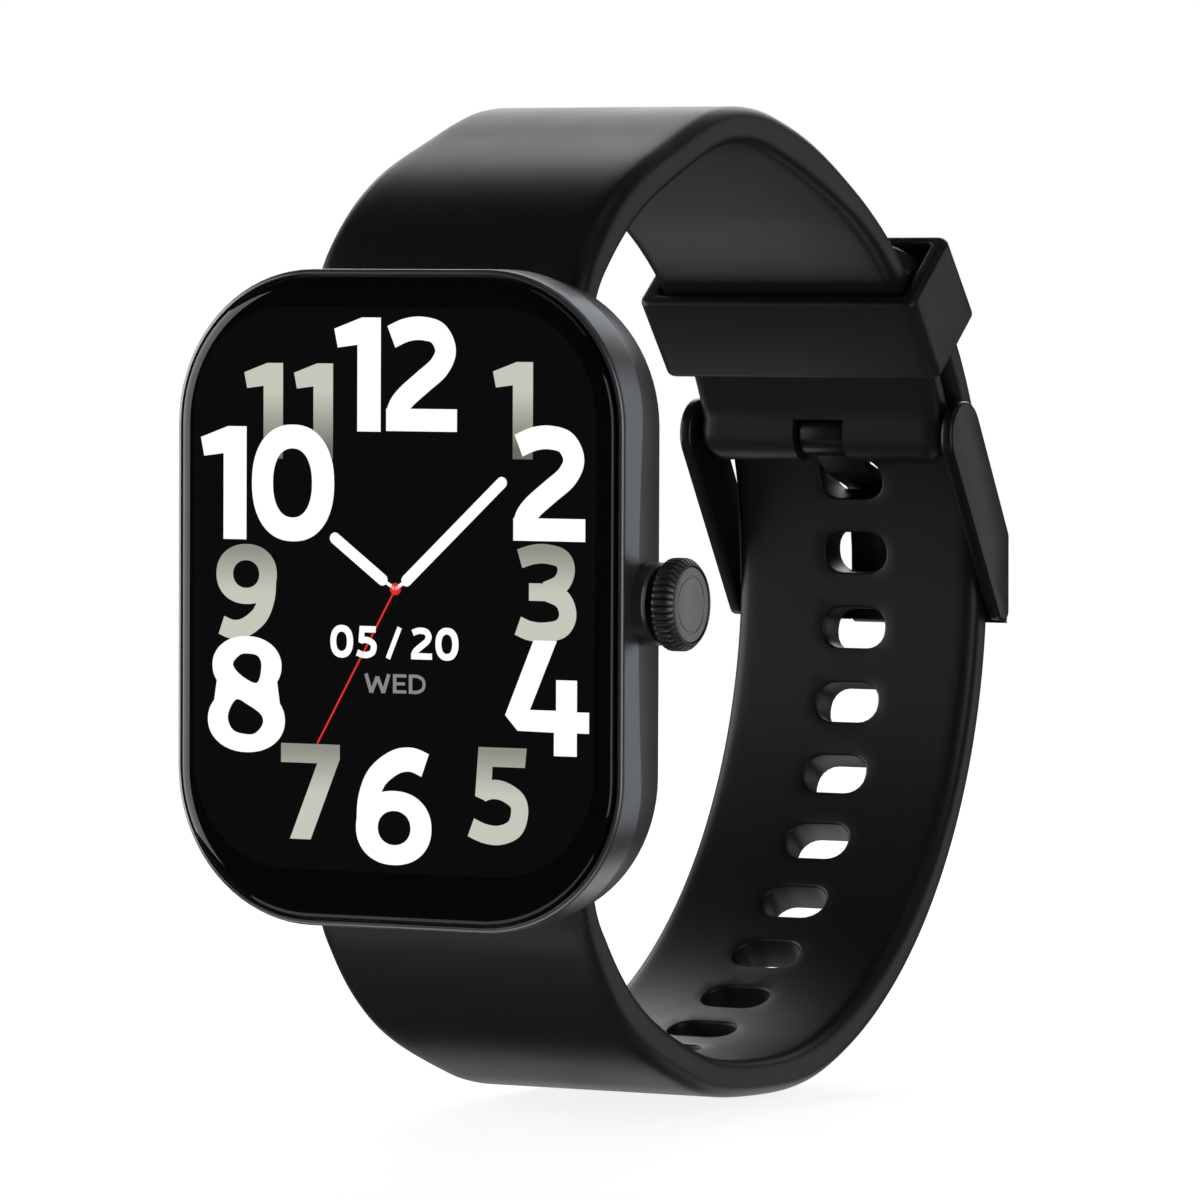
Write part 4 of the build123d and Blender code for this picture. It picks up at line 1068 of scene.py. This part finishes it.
# ---- CAD pieces that show as they are ----
node_slots = {
    "adhesive": ["glass_adhesive"], "display": ["display_panel"],
    "flex_film": ["display_flex", "battery_lead"],
    "inner_plastic": ["inner_chassis", "speaker", "microphone", "crown_switch"],
    "circuit_board": ["main_board", "sensor_board"], "shield_metal": ["shield_cans", "vibration_motor"],
    "battery_foil": ["battery"], "seal_rubber": ["rear_gasket", "crown_seal"],
    "cover_plastic": ["rear_cover"], "sensor_glass": ["sensor_window"],
    "sensor_chip": ["sensor_emitters", "sensor_detectors"],
    "contact_gold": ["charge_contacts"], "screw_steel": ["rear_screws"],
    "crown_metal": ["crown_collar", "crown_shaft", "crown_plunger"],
    "bar_steel": [f"{side}_{piece}" for side in ("upper", "lower")
                  for piece in ("bar_tube", "bar_pin", "release_pin", "release_spring")],
    "buckle_metal": ["buckle_bar", "buckle_pins"],
}
for slot_name, names in node_slots.items():
    for name in names:
        node = frame["nodes"][name]
        node.data.materials.clear()
        node.data.materials.append(looks[slot_name])
for name, width in (("rear_cover", 0.22), ("sensor_window", 0.2), ("charge_contacts", 0.12),
                    ("rear_screws", 0.1), ("crown_collar", 0.1), ("buckle_bar", 0.08)):
    bevel = frame["nodes"][name].modifiers.new("rim", "BEVEL")
    bevel.width, bevel.segments, bevel.limit_method = width * MM, 3, "ANGLE"
    bevel.angle_limit, bevel.harden_normals = radians(32), True
for node in frame["nodes"].values():
    if not node.data.materials:
        node.data.materials.append(looks["frame_metal"])


# ---- stage, light and camera ----
def glow(name, strength, diffuse):
    """A white that lights itself, for the floor and the backdrop."""
    made = bpy.data.materials.new(name)
    made.use_nodes = True
    shader = made.node_tree.nodes["Principled BSDF"]
    shader.inputs["Base Color"].default_value = (diffuse, diffuse, diffuse, 1)
    shader.inputs["Roughness"].default_value = 0.9
    shader.inputs["Emission Color"].default_value = (1, 1, 1, 1)
    shader.inputs["Emission Strength"].default_value = strength
    return made


FLOOR_Z = cad_low[2] / MM - 0.02


def stage_ring(name, radii, look, count=96, centre=(0, 25)):
    """Flat rings of floor, with a disc in the middle when the first radius is small."""
    rings = [[(x, y, FLOOR_Z) for x, y in disc(*centre, r, count)] for r in radii]
    verts, faces = loft(rings, start_cap=radii[0] < 2, end_cap=False)
    piece = add(name, verts, faces, None, "adhesive", look=look)
    piece.visible_glossy = False
    return piece


STAGE_R = 2500
floor_near = stage_ring("floor_near", (1, 30, 60, 95), glow("floor_pale", 0.86, 0.5))
floor_near.visible_shadow = False
stage_ring("floor_far", (95, 300, 900, STAGE_R), glow("floor_white", 1.0, 0.1))
rows = []
for k in range(17):
    a = pi / 2 * k / 16
    radius, height = STAGE_R * cos(a) + 1, STAGE_R * sin(a)
    rows.append([(radius * cos(2 * pi * i / 64), radius * sin(2 * pi * i / 64), FLOOR_Z + height)
                 for i in range(64)])
verts, faces = loft(rows, start_cap=False)
dome = add("backdrop_dome", verts, faces, None, "adhesive", look=glow("backdrop_white", 1.0, 0.0))
dome.visible_glossy = dome.visible_diffuse = dome.visible_shadow = False


def softbox(name, place, target, size, power):
    """A rectangular lamp that the camera doesn't see, aimed from a place at a target."""
    light = bpy.data.lights.new(name, "AREA")
    light.shape, light.size, light.size_y = "RECTANGLE", size[0] * MM, size[1] * MM
    light.energy = power
    lamp = bpy.data.objects.new(name, light)
    bpy.context.scene.collection.objects.link(lamp)
    lamp.location = Vector(place) * MM
    lamp.rotation_mode = "QUATERNION"
    lamp.rotation_quaternion = (Vector(target) - Vector(place)).to_track_quat("-Z", "Y")
    lamp.visible_camera = False


softbox("light_top", (120, 20, 420), (0, 25, 0), (320, 300), 0.07)
softbox("light_back_left", (-240, 430, 235), (0, 30, 10), (440, 260), 0.95)
softbox("light_back_high", (20, 430, 230), (0, 0, 10), (150, 170), 0.1)
softbox("light_back_right", (270, 470, 0), (18, 0, 0), (150, 420), 0.18)
softbox("light_right", (400, -130, 20), (0, 10, 0), (220, 420), 0.4)
softbox("light_left", (-420, -100, 40), (0, 0, 0), (520, 400), 1.5)
softbox("light_under", (-25, 80, FLOOR_Z - 25), (-25, 80, 0), (110, 60), 0.02)
softbox("light_low", (0, -16, FLOOR_Z - 6), (0, -11, -20), (80, 14), 0.003)
world = bpy.data.worlds.new("studio")
bpy.context.scene.world = world
world.use_nodes = True
world.node_tree.nodes["Background"].inputs["Color"].default_value = (1, 1, 1, 1)
world.node_tree.nodes["Background"].inputs["Strength"].default_value = 0.03

AZIMUTH, ELEVATION, ROLL, DISTANCE = 28.336, 2.291, 0.2275, 563.9
AIM = Vector((10.679, 0.0, -0.110))
camera_data = bpy.data.cameras.new("camera")
camera_data.sensor_width, camera_data.lens = 36.0, 239.34
camera_data.clip_start, camera_data.clip_end = 0.05, 8.0
camera = bpy.data.objects.new("camera", camera_data)
bpy.context.scene.collection.objects.link(camera)
a, e = radians(AZIMUTH), radians(ELEVATION)
away = Vector((sin(a) * cos(e), -cos(a) * cos(e), sin(e)))
camera.location = (AIM + away * DISTANCE) * MM
camera.rotation_mode = "QUATERNION"
level = (-away).to_track_quat("-Z", "Y")
camera.rotation_quaternion = Quaternion(away, radians(ROLL)) @ level
bpy.context.scene.camera = camera
bpy.context.scene.view_settings.view_transform = "Standard"
